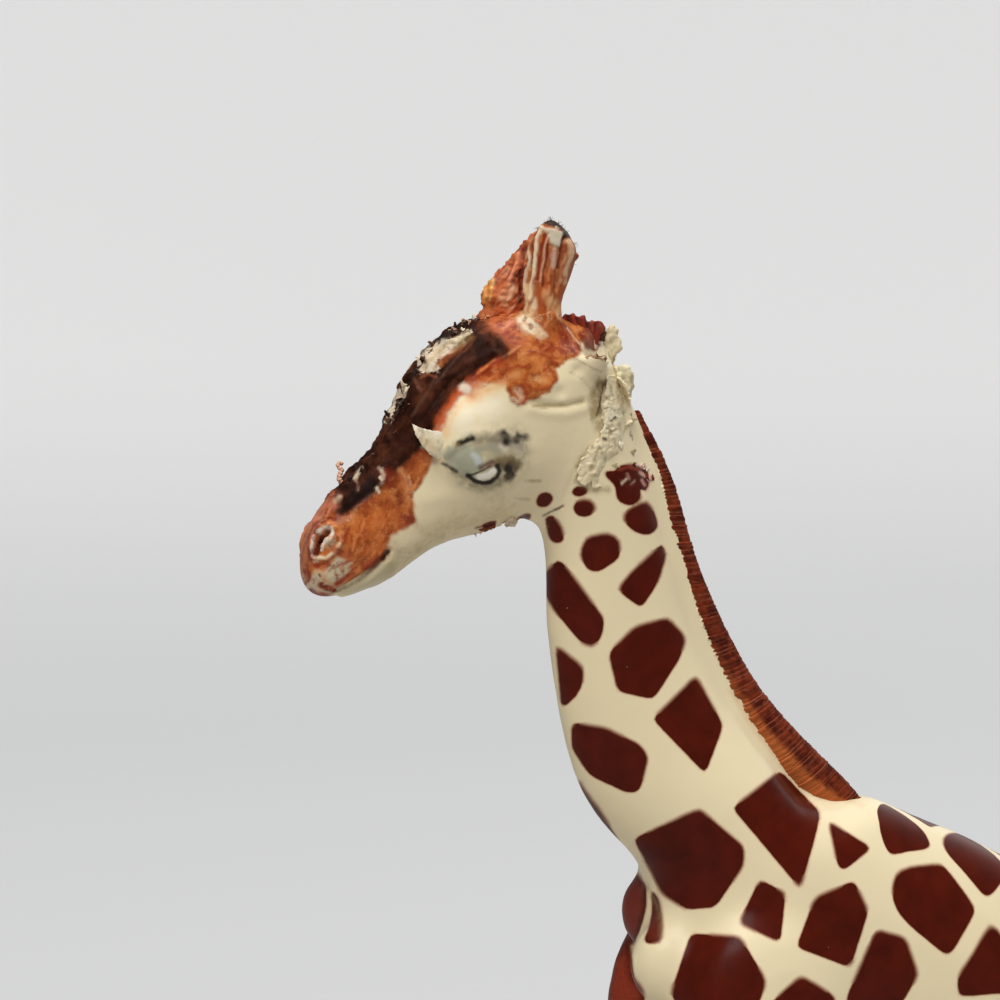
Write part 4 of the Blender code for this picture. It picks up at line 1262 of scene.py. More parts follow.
# %% Eye
EYE_STROKES = (
    (0x9E967C, 0.5, 0, 8, (446, 452, 462, 436, 492, 428, 524, 430, 528, 458, 514, 480, 488, 494, 460, 484)),
    (0xA4A48E, 0.92, 0, 5, (444, 452, 454, 446, 470, 443, 482, 450, 484, 468, 471, 478, 458, 474, 448, 463)),
    (0xAA9E80, 0.85, 9, 7, (482, 444, 498, 446, 496, 460)),
    (0x988E78, 0.75, 7, 6, (498, 442, 522, 442)),
    # painted highlight on the eye
    (0xC4CAC6, 0.85, 3, 3, (474, 454, 479, 462)),
    (0x7A6848, 0.88, 5.5, 4, (500, 462, 512, 460, 517, 466)),
    (0x604E34, 0.8, 3, 3, (502, 466, 512, 464, 516, 469)),
    (0x969682, 0.6, 3, 3, (476, 450, 490, 446, 498, 452)),
    # painted highlights on the eye
    (0xCEC4B0, 0.75, 2.8, 2.8, (502, 446, 505, 449)),
    (0xC4BAA6, 0.75, 2.8, 2.6, (516, 446, 520, 450)),
    # painted shadow under the eye's ring
    (0x847C5C, 0.55, 2.6, 4, (466, 482, 482, 488, 498, 484)),
    (0x847A5C, 0.5, 2, 3, (448, 468, 460, 476, 468, 480)),
    (0xF8F2E4, 0.97, 3.2, 1.8, (479, 477.5, 488, 475.5, 495, 471), 0.05),
    (0x68483C, 0.88, 2.4, 2.4, (481, 467.6, 487, 464, 492, 462)),
    (0x342C24, 0.9, 1, 1.2, (468, 476, 476, 473.4, 484, 470, 490, 466), -0.03),
    (0x8C685A, 0.7, 1.6, 1.6, (488, 465, 490.5, 465.6)),
    (0x221C18, 0.97, 2.5, 1.4,
     (468, 476, 473.7, 480.3, 482.6, 483.4, 490.3, 482.2, 496.6, 477.5, 499.4, 471, 497.4, 466.4), -0.05),
    (0x261E18, 0.96, 3.8, 2.8, (507, 468, 512, 474, 508, 477), -0.04),
    (0x68583E, 0.65, 1.6, 2.4, (500, 480, 505, 478, 511, 476)),
    (0x241E1C, 0.95, 3.4, 3, (504, 433, 507, 437, 506, 442), -0.04),
    (0x2E282A, 0.93, 3.4, 3, (516.5, 440, 519, 435.4, 524.6, 437.4), -0.04),
    (0x786C58, 0.55, 1.6, 2.2, (498, 434, 512, 438, 526, 440)),
    (0x1C1610, 0.97, 2.9, 1.8, (459, 443.6, 464.5, 441.4, 472.4, 438.8), -0.05),
    (0x967C46, 0.7, 1.8, 1.8, (456.6, 446, 458.6, 444.6)),
    (0x3A3628, 0.9, 1.8, 1.8, (442.6, 463.6, 449.4, 467.4, 456, 471.6), -0.04),
    (0xA4926A, 0.65, 1.1, 1.3, (526, 480.6, 540, 481)),
    (0xB0A07A, 0.5, 1, 1.4, (514, 498, 529, 499.6)),
)
print(len(EYE_STROKES), "strokes")

# %% Cracks of the lips and jaw
LIP_STROKES = (
    (0x8E2C1A, 0.9, 2.4, 1.6, (306, 571, 309, 577, 308, 584)),
    (0x8A2C1A, 0.9, 2.4, 1.6, (311, 590, 317, 594, 325, 595)),
    (0x842A18, 0.92, 2.4, 1.4, (322, 584, 328, 588, 334, 590)),
    (0x963C24, 0.88, 2.2, 1.6, (337, 584, 343, 580, 348, 575)),
    (0x92341E, 0.88, 2.8, 1.8, (315, 565, 322, 567, 328, 563)),
    (0x8E2E18, 0.85, 3, 2.2, (334, 549, 341, 553)),
    (0x9C4226, 0.8, 3.5, 3, (366, 566, 374, 561, 380, 556)),
    (0x8C341A, 0.8, 1.2, 1.8, (404, 466, 408, 480, 411, 492)),
    (0x8E341C, 0.8, 3, 2.4, (402, 517, 411, 520)),
    (0x762414, 0.85, 1, 1.4, (309, 560, 308, 546, 309.5, 535, 314, 525, 323, 518, 333, 517)),
    *streaks(21, 26, (302, 562, 350, 556, 358, 572, 334, 594, 302, 590), (0.8, -0.3), (2, 6), (0.5, 1.3),
     (0x8C2C1A, 0xA04228, 0xE0CEB0), 0.7),
    (0x785C3E, 0.6, 0.9, 1.2, (336, 592, 347, 586.8, 361.4, 579.2, 372.4, 569.6, 382.4, 560.6)),
    (0x3C1C10, 0.95, 2, 1.3, (383, 559, 388.4, 551.8), -0.05),
    (0x381A10, 0.9, 1, 1.3, (543, 516, 553, 511, 563, 506), -0.08),
    (0x6C321E, 0.85, 1.3, 1.2, (476, 527.6, 485, 526, 494, 524)),
)
HEAD_STROKES = (
    *SHADE_STROKES, *MUZZLE_STROKES, *NOSE_STROKES, *BROW_STROKES, *CROWN_STROKES, *BLAZE_STROKES, *NAPE_STROKES,
    *EYE_STROKES, *LIP_STROKES,
)
print(len(HEAD_STROKES), "strokes on the head")


# %% Store the paint of the head
spot = spot_paint(points, normals)[0]
store(head_mesh, "spot", np.where(points[:, 2] > 141, FAR_OFF, spot))
store(head_mesh, "rust", head_distance(places, RUST_AREAS))
store(head_mesh, "blaze", blaze)
store(head_mesh, "bare", head_distance(places, BARE_AREAS))
store(head_mesh, "lip", head_distance(places, LIP_AREA))
store(head_mesh, "hollow", offset)
brush(head_mesh, HEAD_STROKES, 17, 0.5, False)
relief = np.zeros(len(points))
for _, _, lift, mask in stroke_masks(places, [row for row in HEAD_STROKES if len(row) > 5]):
    relief += lift * mask
move_points(head_mesh, points_of(head_mesh) + normals * (relief * cut_edge)[:, None])
head_points = points_of(head_mesh)


# %% The head's paint
def make_head_paint():
    material, tree, shader = new_material("head_paint", 0.4, 0.22, 0.05)
    place = object_place(tree)
    wear = use_group(tree, PLASTIC_WEAR, {"Scuffs": 0.5})
    colour = tinted(tree, CREAM, CREAM_WARM, wear["Cloud"], 0.6)
    colour = tinted(tree, colour, OLIVE, painted(tree, "lip", 0.5, 0.3, 1200.0), 0.5)
    # Rust: sprayed on in clouds, combed, thin in places and darkest at its edge and round the blaze
    clouds = noise(tree, place, 2.6, 4.0, 0.6)
    combed = noise(tree, object_place(tree, (1.0, 1.0, 0.35)), 0.7, 4.0, 0.65)
    rust_tone = tinted(tree, RUST, RUST_LIGHT, step(tree, clouds, 0.3, 0.68))
    rust_tone = tinted(tree, rust_tone, RUST_DARK, step(tree, combed, 0.5, 0.75), 0.5)
    rust_tone = tinted(tree, rust_tone, RUST_DARK, step(tree, stored(tree, "rust"), -0.7, -0.1), 0.35)
    rust = painted(tree, "rust", 0.3, 1.1, 650.0)
    thin = step(tree, noise(tree, place, 0.9, 5.0, 0.7), 0.22, 0.34)
    colour = tinted(tree, colour, rust_tone, rust, thin)
    halo = step(tree, stored(tree, "blaze"), 1.9, 0.1)
    colour = tinted(tree, colour, RUST_DARK, halo, rust, 0.85)
    # The blaze, and the places where it is gnawed bare
    blaze = painted(tree, "blaze", 0.5, 0.9, 700.0, -0.25)
    blaze_tone = tinted(tree, BLAZE, BLAZE_LIGHT, step(tree, clouds, 0.4, 0.68))
    blaze_tone = tinted(tree, blaze_tone, BLAZE_DARK, step(tree, combed, 0.5, 0.72), 0.5)
    colour = tinted(tree, colour, blaze_tone, blaze)
    flecks = step(tree, noise(tree, place, 0.5, 4.0, 0.7), 0.66, 0.7)
    flecks = maths(tree, "MULTIPLY", flecks, step(tree, stored(tree, "bare"), 1.4, 0.2))
    bare = maths(tree, "MAXIMUM", painted(tree, "bare", 0.12, 1.7, 1000.0), flecks)
    bare_tone = tinted(tree, BARE, BARE_DARK, step(tree, noise(tree, place, 0.6, 5.0, 0.7), 0.4, 0.66))
    colour = brushed_over(tree, tinted(tree, colour, bare_tone, bare))
    # Rubbed and stained rust, the spots of the cheek, and painted shade where the skin is sunk
    worn = maths(tree, "MULTIPLY", rust, maths(tree, "SUBTRACT", 1.0, blaze))
    mottle = noise(tree, place, 1.1, 6.0, 0.65)
    colour = tinted(tree, colour, RUST_RUBBED, step(tree, mottle, 0.5, 0.64), worn, 0.5)
    colour = tinted(tree, colour, RUST_STAIN, step(tree, mottle, 0.47, 0.36), worn, 0.65)
    colour = tinted(tree, colour, SPOT_RIM, painted(tree, "spot", 0.22, 0.16, 1100.0, -0.1), 0.9)
    colour = tinted(tree, colour, MAROON, painted(tree, "spot", 0.12, 0.16, 1100.0, -0.04))
    colour = tinted(tree, colour, SUNK_SKIN_SHADE, step(tree, stored(tree, "hollow"), -0.25, -0.8), 0.4)
    rough = blend(tree, blaze, blend(tree, wear["Scuff"], 0.38, 0.6), 0.55)
    height = maths(tree, "MULTIPLY_ADD", rust, 0.3, wear["Grain"])
    height = maths(tree, "MULTIPLY_ADD", maths(tree, "MULTIPLY", blaze, combed), 1.2, height)
    height = maths(tree, "MULTIPLY_ADD", bare, 0.5, height)
    feed(tree, shader, {
        "Base Color": colour,
        "Roughness": blend(tree, bare, rough, 0.65),
        "Coat Weight": blend(tree, blaze, 0.22, 0.0),
        "Normal": bump(tree, height, 0.4, 0.1),
    })
    return material


finish_piece("head_moulding", head_mesh, make_head_paint(), ["head"])


# %% [markdown]
# ## The mane
# The mane is a moulded ridge combed across into beads, painted dark red-brown and orange at its foot.
# A ring of points is extruded along the crest, and each bead swells and pinches the ring.

# %% Sweep a ring along a path
def swept_order(item):
    """The place of an edge or face in a swept body's order, because Blender makes them in any order."""
    numbers = [vertex.index for vertex in item.verts]
    return min(numbers) * 1e6 + max(numbers)


def sweep(rings, outline):
    """A closed body: the outline, a list of (x, y) pairs, is put at each ring, a 4x4 matrix, in turn."""
    shape = bmesh.new()
    turn = shape.verts.layers.int.new("turn")
    bmesh.ops.create_circle(shape, cap_ends=False, radius=1, segments=len(outline))
    shape.verts.ensure_lookup_table()
    for number, vertex in enumerate(shape.verts):
        vertex[turn] = number
    edges = shape.edges[:]
    first = list(edges)
    for number, ring in enumerate(rings):
        if number:
            grown = bmesh.ops.extrude_edge_only(shape, edges=edges)["geom"]
            edges = [item for item in grown if isinstance(item, bmesh.types.BMEdge)]
            edges = [edge for edge in edges if edge.is_boundary]
        for vertex in {vertex for edge in edges for vertex in edge.verts}:
            x, y = outline[vertex[turn]]
            vertex.co = ring @ Vector((x, y, 0))
    bmesh.ops.edgeloop_fill(shape, edges=first)
    bmesh.ops.edgeloop_fill(shape, edges=edges)
    bmesh.ops.recalc_face_normals(shape, faces=shape.faces)
    shape.verts.index_update()
    shape.edges.sort(key=swept_order)
    shape.faces.sort(key=swept_order)
    return shape


def ring_at(place, across, up, half_width, half_height):
    """The matrix of a ring in the plane of two directions."""
    across, up = Vector(across).normalized(), Vector(up).normalized()
    ring = Matrix.Identity(4)
    ring.col[0][:3] = across * half_width
    ring.col[1][:3] = up * half_height
    ring.col[2][:3] = across.cross(up)
    ring.col[3][:3] = place
    return ring


def resampled(rows, steps):
    """Rows of numbers, spread evenly along the line that their first three make."""
    rows = np.array(rows, float)
    length = np.concatenate([[0], np.cumsum(norm(np.diff(rows[:, :3], axis=0), axis=1))])
    wanted = np.linspace(0, length[-1], steps)
    return np.stack([np.interp(wanted, length, column) for column in rows.T], axis=1)


def circle_of(count):
    return [(math.cos(math.tau * n / count), math.sin(math.tau * n / count)) for n in range(count)]


BEADS, BEAD_RINGS = 96, 5
rows = np.hstack([MANE_CREST, np.array(MANE)[:, 2:]])
rows = resampled(rows, len(rows) * 4)
rows = averaged(rows, np.stack([np.arange(len(rows) - 1), np.arange(1, len(rows))], axis=1), 6)
picker = random.Random(5)
starts = np.cumsum([0] + [picker.uniform(0.5, 1.5) for _ in range(BEADS)])
numbers = np.arange(BEADS * BEAD_RINGS) / BEAD_RINGS
places = np.interp(numbers, np.arange(BEADS + 1), starts) / starts[-1] * (len(rows) - 1)
rows = np.stack([np.interp(places, np.arange(len(rows)), column) for column in resampled(rows, len(rows)).T], axis=1)


def arch_place(turn):
    """A place on the mane's section, which is narrower at its foot than a circle."""
    across = abs(math.sin(turn)) ** 0.8 * (0.62 + 0.38 * (1 - math.cos(turn)) / 2)
    return math.copysign(across, math.sin(turn)), math.cos(turn)


ARCH = [arch_place(turn) for turn in np.linspace(-math.pi, math.pi, 25)[:-1]]
rings, strand = [], []
for number, (x, y, z, height, half_width) in enumerate(rows):
    if number % BEAD_RINGS == 0:
        swing, size, deep = picker.uniform(-0.12, 0.12), picker.uniform(0.86, 1.05), picker.uniform(0.15, 0.75)
    after, before = rows[min(number + 1, len(rows) - 1)], rows[max(number - 1, 0)]
    way = Vector(after[:3] - before[:3]).normalized()
    out = Vector((0, 1, 0)).cross(way)
    out = out if out.x > 0 else -out
    bead = 1 - deep * (1 - math.sin(math.pi * (number % BEAD_RINGS + 0.5) / BEAD_RINGS) ** 0.7)
    end = min(1.0, min(number, len(rows) - 1 - number) / 10 + 0.3)
    half_height = (height + 2.4) / 2
    middle = Vector((x, y + swing, z)) - out * (half_height + 0.1 * (1 - bead) + 0.06 * (1.04 - size))
    width = half_width * end * (0.86 + 0.14 * bead * size)
    rings.append(ring_at(middle + way * swing, (0, 1, 0), out + way * 0.3, width, half_height))
    strand += [bead * size] * len(ARCH)
mane_mesh = as_mesh(sweep(rings, ARCH), "mane")
store(mane_mesh, "strand", strand)
mane_mesh = subdivided(mane_mesh)
mane_points, mane_normals = surface_of(mane_mesh)
away, crest = near_line(mane_points, MANE_CREST, CREST_ROWS)
seen = to_picture(folded(mane_points))
store(mane_mesh, "foot", along(seen, np.array(MANE)[:, :2]) * PIXEL / np.maximum(crest[:, 3], 0.3))
store(mane_mesh, "down", ramp(-mane_points[:, 2], -122, -107))
comb = np.stack([mane_points @ CREST_WAY.mean(axis=0) / 18, mane_points[:, 1] / 6, away / 4], axis=1)
move_points(mane_mesh, mane_points + mane_normals * (0.07 * roughness(comb, 0.045, 6, 2))[:, None])


# %% The mane's paint
def make_mane_paint():
    """Dark red-brown blocks, dusty grooves, orange low on the neck and a broken edge higher up."""
    material, tree, shader = new_material("mane_paint", 0.5, 0.0, 0.08)
    place = object_place(tree)
    wear = use_group(tree, PLASTIC_WEAR, {"Scuffs": 0.9})
    strand, down = stored(tree, "strand"), stored(tree, "down")
    grain = noise(tree, place, 0.5, 4.0, 0.7)
    blocks = step(tree, noise(tree, place, 1.6, 2.0, 0.5), 0.36, 0.62)
    colour = tinted(tree, (0.072, 0.009, 0.004, 1), (0.175, 0.026, 0.008, 1), blocks)
    groove = step(tree, maths(tree, "MULTIPLY_ADD", grain, 0.5, strand), 1.12, 0.86)
    colour = tinted(tree, colour, (0.3, 0.080, 0.038, 1), groove, 0.6)
    foot = maths(tree, "MULTIPLY_ADD", grain, 0.28, stored(tree, "foot"))
    low = step(tree, maths(tree, "MULTIPLY_ADD", down, 0.16, foot), 0.84, 1.1)
    colour = tinted(tree, colour, (0.44, 0.115, 0.030, 1), low, down)
    colour = tinted(tree, colour, (0.34, 0.12, 0.06, 1), wear["Scuff"], 0.25)
    gap = step(tree, maths(tree, "MULTIPLY_ADD", strand, -0.35, foot), 0.9, 0.98)
    colour = tinted(tree, colour, CREAM, gap, maths(tree, "SUBTRACT", 1.0, down))
    feed(tree, shader, {"Base Color": colour, "Normal": bump(tree, grain, 0.4, 0.12)})
    return material


finish_piece("mane_ridge", mane_mesh, make_mane_paint())

# %% [markdown]
# ## The horns
# The near horn is a fluted post with a worn cap, built of rings between its two edges in the picture.
# The far one was bitten through at a slant: a body with the bite's outline, on which torn fibres are pressed.
# The same strokes that colour the ribs and fibres raise and sink them, so paint and form can't part.

# %% Rings of the near horn
HORN_EDGES = (
    (330, 517, 564), (318, 521, 562), (306, 524, 561), (294, 524.5, 563), (283, 524.5, 567), (272, 526, 571),
    (262, 527, 574), (252, 529, 576.5), (244, 530.5, 576), (237, 533, 572), (230, 537, 567.5), (225, 541, 562),
    (221.5, 546, 557), (220, 549.5, 553.5),
)
HORN_DEPTHS = np.interp(range(14), (0, 2, 8, 10, 11, 12, 13), (2.3, 2.0, 2.3, 1.9, 1.4, 0.8, 0.3))
back = Vector(-TO_LENS * (1, 1, 0)).normalized()
rings = []
for row in np.linspace(0, len(HORN_EDGES) - 1, 54):
    up, left, right = (np.interp(row, range(14), column) for column in zip(*HORN_EDGES))
    level = -3.1 - (330 - up) * 0.016
    ends = [on_plane((edge, up + (edge - 545) * 0.12 * (up < 300)), level) for edge in (left, right)]
    middle = Vector((ends[0] + ends[1]) / 2)
    depth = np.interp(row, range(14), HORN_DEPTHS)
    rings.append(ring_at(middle, ends[1] - ends[0], back, norm(ends[1] - ends[0]) / 2, depth))
near_horn_mesh = subdivided(as_mesh(sweep(rings, circle_of(64))))
NEAR_HORN_STROKES = (
    (0xB2562A, 0.8, 11, 8, (540, 330, 545, 305, 552, 290)),
    (0xBA6030, 0.75, 0, 5, (543, 270, 560, 270, 566, 296, 562, 322, 530, 324, 536, 300)),
    (0xECCCAC, 0.92, 1.5, 1.1,
     (532, 233, 528.4, 243, 528.4, 251, 530.4, 261, 527.3, 270, 525.2, 281, 525.4, 292), 0.16),
    (0xF0D8B6, 0.92, 2.1, 1.3,
     (541.6, 229, 537.2, 237, 536.1, 248, 535, 261, 533.9, 274, 531.7, 288, 530.6, 300), 0.2),
    (0xDEA484, 0.85, 1.2, 1.2, (547.2, 237, 543.9, 248, 544.4, 259, 541.6, 270, 540.5, 281), 0.14),
    (0x703222, 0.9, 0.9, 1, (532.4, 246, 532.4, 258, 530.6, 268), -0.16),
    (0x8E2E14, 0.92, 1.5, 1.2, (545, 236, 541, 250, 538.9, 265, 537.2, 279), -0.2),
    (0x802812, 0.92, 1.2, 1.1, (548.2, 245, 546.8, 259, 544.6, 272, 542.7, 286), -0.2),
    (0xDAB29C, 0.9, 2.8, 1.8, (554.5, 249, 554, 258, 553, 267), 0.16),
    (0xC87042, 0.8, 2.4, 2.4, (552, 270, 550, 284, 548, 292), 0.1),
    (0x963A1A, 0.8, 1.8, 2.4, (551, 276, 549, 284), -0.06),
    (0x78301A, 0.92, 1.7, 1.3, (563.7, 238, 561.5, 248, 559.3, 261, 557, 271, 556, 288), -0.22),
    (0xE2BC94, 0.88, 3, 2.2, (568.2, 242, 571.5, 251, 568.2, 259, 564.8, 270, 562.6, 281), 0.16),
    (0xAA5C38, 0.7, 1, 1.2, (566, 247, 567, 258, 563, 268), -0.08),
    (0xFAD6A4, 0.88, 4.8, 4, (528, 288, 529, 302, 528, 318), 0.05),
    (0xF0BE86, 0.85, 4, 4, (546, 296, 555, 304, 558, 312), 0.04),
    (0xB05024, 0.8, 2.6, 4, (540, 292, 540, 304, 546, 318, 556, 326)),
    (0xF2D8B0, 0.8, 2.6, 2.4, (533, 300, 534, 308), 0.05),
    *streaks(8, 30, (528, 262, 566, 262, 562, 326, 526, 326), (-0.1, 1), (5, 14), (0.4, 1.2),
     (0x963A1C, 0xE69C64, 0xA84E26, 0xF0C896), 0.6),
    (0xCEC4AC, 0.95, 0, 1.3,
     (549.4, 229, 556, 229.5, 562.6, 232.5, 561.5, 238, 559.6, 247, 553.8, 247, 549.8, 243, 548.4, 236), 0.18),
    (0xD0BEA4, 0.85, 2, 1.5, (541, 227.5, 545, 229, 548, 230), 0.12),
    (0x6E3022, 0.85, 1.3, 1.2, (536, 231, 534.5, 236), -0.1),
    (0x221914, 0.96, 0, 1.6,
     (544, 223, 551, 217, 561, 221, 568, 231, 570, 239, 566, 237, 561, 230, 554, 226, 548, 226), 0.05),
    (0xD6CCB8, 0.8, 0.7, 0.9, (556, 227, 559, 229)),
    (0x968C7C, 0.7, 0.6, 0.9, (562, 231, 565, 235)),
    (0x3C2E26, 0.85, 1, 1.4, (558, 227, 564, 234, 566, 238), 0.08),
    (0x963C28, 0.85, 1.6, 1.4, (576, 255, 577.5, 259), 0.3),
)
brush(near_horn_mesh, NEAR_HORN_STROKES, 19, 0.8)


# %% A body with an outline in the picture
def slab(outline, level, half_thickness, cell, rounds):
    """A rounded body between two upright planes, as thick as given, with its outline in the picture."""
    shape = bmesh.new()
    sides = []
    for side in (-1, 1):
        sides.append([shape.verts.new(on_plane(place, level + side * half_thickness)) for place in outline])
    shape.faces.new(sides[0])
    shape.faces.new(sides[1][::-1])
    for corners in zip(sides[0], sides[1], sides[1][1:] + sides[1][:1], sides[0][1:] + sides[0][:1]):
        shape.faces.new(corners)
    bmesh.ops.recalc_face_normals(shape, faces=shape.faces)
    mesh = remeshed(as_mesh(shape), cell)
    move_points(mesh, averaged(points_of(mesh), edges_of(mesh), rounds))
    return mesh


def ragged(outline, size, seed, pitch=2.5):
    """An outline with points every few pixels, each moved a little at random."""
    outline = pairs(outline)
    picker = np.random.default_rng(seed)
    result = []
    for start, end in zip(outline, np.roll(outline, -1, axis=0)):
        steps = max(1, int(norm(end - start) / pitch))
        result += [start + (end - start) * step / steps + picker.uniform(-size, size, 2) for step in range(steps)]
    return np.array(result)


# %% The bitten horn
BITE = (
    543, 228, 536, 232.5, 525, 243.5, 509, 262, 494, 279, 486, 288, 483, 296, 484, 303, 487, 308, 482, 312, 477, 318,
    486, 325, 512, 328, 530, 330, 549, 326, 549, 300, 547, 262, 543, 231,
)
FAR_HORN_LEVEL = 3.9  # mm to the right of the middle
far_horn_mesh = slab(ragged(BITE, 0.7, 70), FAR_HORN_LEVEL, 2.5, 0.17, 4)
points = points_of(far_horn_mesh)
inside = -outside(to_picture(points), BITE)
points[:, 1] = FAR_HORN_LEVEL + (points[:, 1] - FAR_HORN_LEVEL) * (0.45 + 0.55 * ramp(inside, -1, 14))
move_points(far_horn_mesh, points)
FAR_HORN_STROKES = (
    (0xC4663A, 0.6, 0, 8, (530, 228, 478, 284, 484, 316, 552, 330, 548, 230)),
    *streaks(9, 60, (530, 233, 486, 284, 484, 304, 510, 320, 534, 326, 534, 234), (-0.62, 0.78), (8, 26), (0.4, 1.3),
     (0x92321A, 0xDE804E, 0xECB088, 0x782614, 0x601E12), 0.75),
    (0x521A10, 0.9, 1.7, 1.8, (525.4, 246, 521.6, 262, 520.4, 276, 521.6, 302), -0.3),
    (0x782A16, 0.8, 1.3, 1.6, (514, 262, 508, 276, 501, 284), -0.22),
    (0x7E2C18, 0.8, 1.1, 1.5, (517, 276, 510, 290, 506, 302), -0.2),
    (0xE69674, 0.85, 1.4, 1.6, (519, 254, 514, 268, 509, 280), 0.2),
    (0xE2B08A, 0.85, 3.2, 3, (512, 288, 508, 298), 0.15),
    (0xD8A47A, 0.8, 2.4, 2.4, (500, 296, 506, 306), 0.1),
    (0xE6A65C, 0.85, 3.6, 3.5, (488, 283, 485.5, 291, 486, 300), 0.05),
    (0xBE6C1C, 0.85, 1.4, 1.6, (487.5, 284, 488.4, 294, 487, 302), -0.16),
    (0xF0C478, 0.85, 1.2, 1.3, (493, 280, 492, 290, 490, 300), 0.12),
    (0xA04822, 0.75, 1.2, 1.5, (497, 284, 496, 296, 493, 306), -0.14),
    (0xC8683E, 0.75, 4, 4, (500, 312, 516, 318, 530, 322)),
)
points, normals = surface_of(far_horn_mesh)
fibre = roughness(points @ np.array(((0.9, 0, 0.5), (0, 1.5, 0), (-1.6, 0, 2.4))), 0.8, 71, 2)
move_points(far_horn_mesh, points + normals * (0.16 * fibre + 0.1 * roughness(points, 0.5, 72, 2))[:, None])
brush(far_horn_mesh, FAR_HORN_STROKES, 23, 0.8)


# %% The horns' worn paint
def make_horn_paint():
    material, tree, shader = new_material("horn_paint", 0.5, 0.0, 0.12)
    wear = use_group(tree, PLASTIC_WEAR, {"Scuffs": 0.8})
    clouds = noise(tree, object_place(tree), 0.9, 5.0, 0.65)
    colour = tinted(tree, (0.32, 0.075, 0.022, 1), (0.5, 0.17, 0.055, 1), step(tree, clouds, 0.3, 0.7))
    colour = brushed_over(tree, colour)
    colour = tinted(tree, colour, (0.66, 0.42, 0.25, 1), step(tree, clouds, 0.6, 0.72), 0.35)
    rough = blend(tree, wear["Scuff"], 0.48, 0.7)
    feed(tree, shader, {"Base Color": colour, "Roughness": rough, "Normal": bump(tree, clouds, 0.5, 0.12)})
    return material


HORN_PAINT = make_horn_paint()
near_horn_points, near_horn_normals = surface_of(near_horn_mesh)
finish_piece("near_horn", near_horn_mesh, HORN_PAINT, ["left_horn"])
finish_piece("chewed_horn", far_horn_mesh, HORN_PAINT, ["right_horn"])

# %% [markdown]
# ## Torn plastic
# Teeth pulled strips, flaps and crumbs out of the soft plastic, mostly where the ears were.
# A torn piece is a sheet cut to an outline in the picture, laid on the skin along the lines of sight,
# crumpled, and given a thickness.

# %% Lay a torn sheet on the skin
skin_tree = BVHTree.FromPolygons(
    [Vector(point) for point in np.vstack([head_points, points_of(body_mesh) / MM])],
    [tuple(face.vertices) for face in head_mesh.polygons]
    + [tuple(number + len(head_points) for number in face.vertices) for face in body_mesh.polygons],
)
THIN_AIR = 1e9
SHEET_THICKNESS = 0.3


def seen_depth(place):
    """How far from the lens the skin is at a place in the picture, in mm."""
    hit = skin_tree.ray_cast(Vector(LENS_PLACE), Vector(sight_line(place)))
    return hit[3] if hit[0] is not None else THIN_AIR


def creased(points, size, seed):
    """Heights from -1 to 1 with sharp folds, about that size in mm."""
    return 1 - 2 * np.minimum(np.abs(roughness(points, size, seed, 1)) * 1.6, 1)


def torn_sheet(outline, lift, crumple, seed, seam):
    """A creased sheet on the skin, lifted by so many mm, and sunk into it along its seam."""
    outline = pairs(outline)
    low, high = outline.min(axis=0), outline.max(axis=0)
    counts = [int(size) for size in high - low]
    shape = bmesh.new()
    bmesh.ops.create_grid(shape, x_segments=counts[0], y_segments=counts[1], size=0.5)
    flat = np.array([vertex.co[:2] for vertex in shape.verts]) + 0.5
    flat = low + flat * (high - low)
    for vertex, place in zip(shape.verts, flat):
        vertex.co = (*place, 0)
    far = outside(flat, outline) > 0
    bmesh.ops.delete(shape, geom=[v for v, gone in zip(shape.verts[:], far) if gone], context="VERTS")
    loose = [vertex for vertex in shape.verts if not vertex.link_faces]
    bmesh.ops.delete(shape, geom=loose, context="VERTS")
    for _ in range(2):
        edge = [vertex for vertex in shape.verts if vertex.is_boundary]
        bmesh.ops.smooth_vert(shape, verts=edge, factor=0.5, use_axis_x=True, use_axis_y=True, use_axis_z=True)
    mesh = as_mesh(shape)
    places = points_of(mesh)[:, :2]
    depth = np.array([seen_depth(place) for place in places])
    known = depth < THIN_AIR
    level = np.median(depth[known]) if known.any() else VIEW_DISTANCE + 5
    depth = np.where(known, np.clip(depth, level - 4, level + 3), level + 1.0)
    depth = averaged(depth, edges_of(mesh), 8).ravel()
    ways = np.array([sight_line(place) for place in places])
    points = LENS_PLACE + ways * depth[:, None]
    share = ramp(along(places, seam), 1, 15)
    wave = 0.45 * creased(points, 1.9, seed) + 0.45 * creased(points, 0.8, seed + 3)
    wave += 0.4 * roughness(points, 0.35, seed + 5)
    store(mesh, "deep", -wave * share)
    raised = (lift + crumple * wave) * share - 0.6 * (1 - share)
    sway = 0.5 * crumple * roughness(points, 1.1, seed + 9, 2) * share
    points += TO_LENS * raised[:, None] + LENS_UP * sway[:, None]
    move_points(mesh, points)
    mesh = with_modifier(mesh, "SOLIDIFY", thickness=SHEET_THICKNESS, offset=0.0)
    return subdivided(mesh)


def merged_pieces(meshes):
    """One mesh of several brushed ones."""
    shape = bmesh.new()
    for mesh in meshes:
        shape.from_mesh(mesh)
    bmesh.ops.recalc_face_normals(shape, faces=shape.faces)
    return as_mesh(shape)


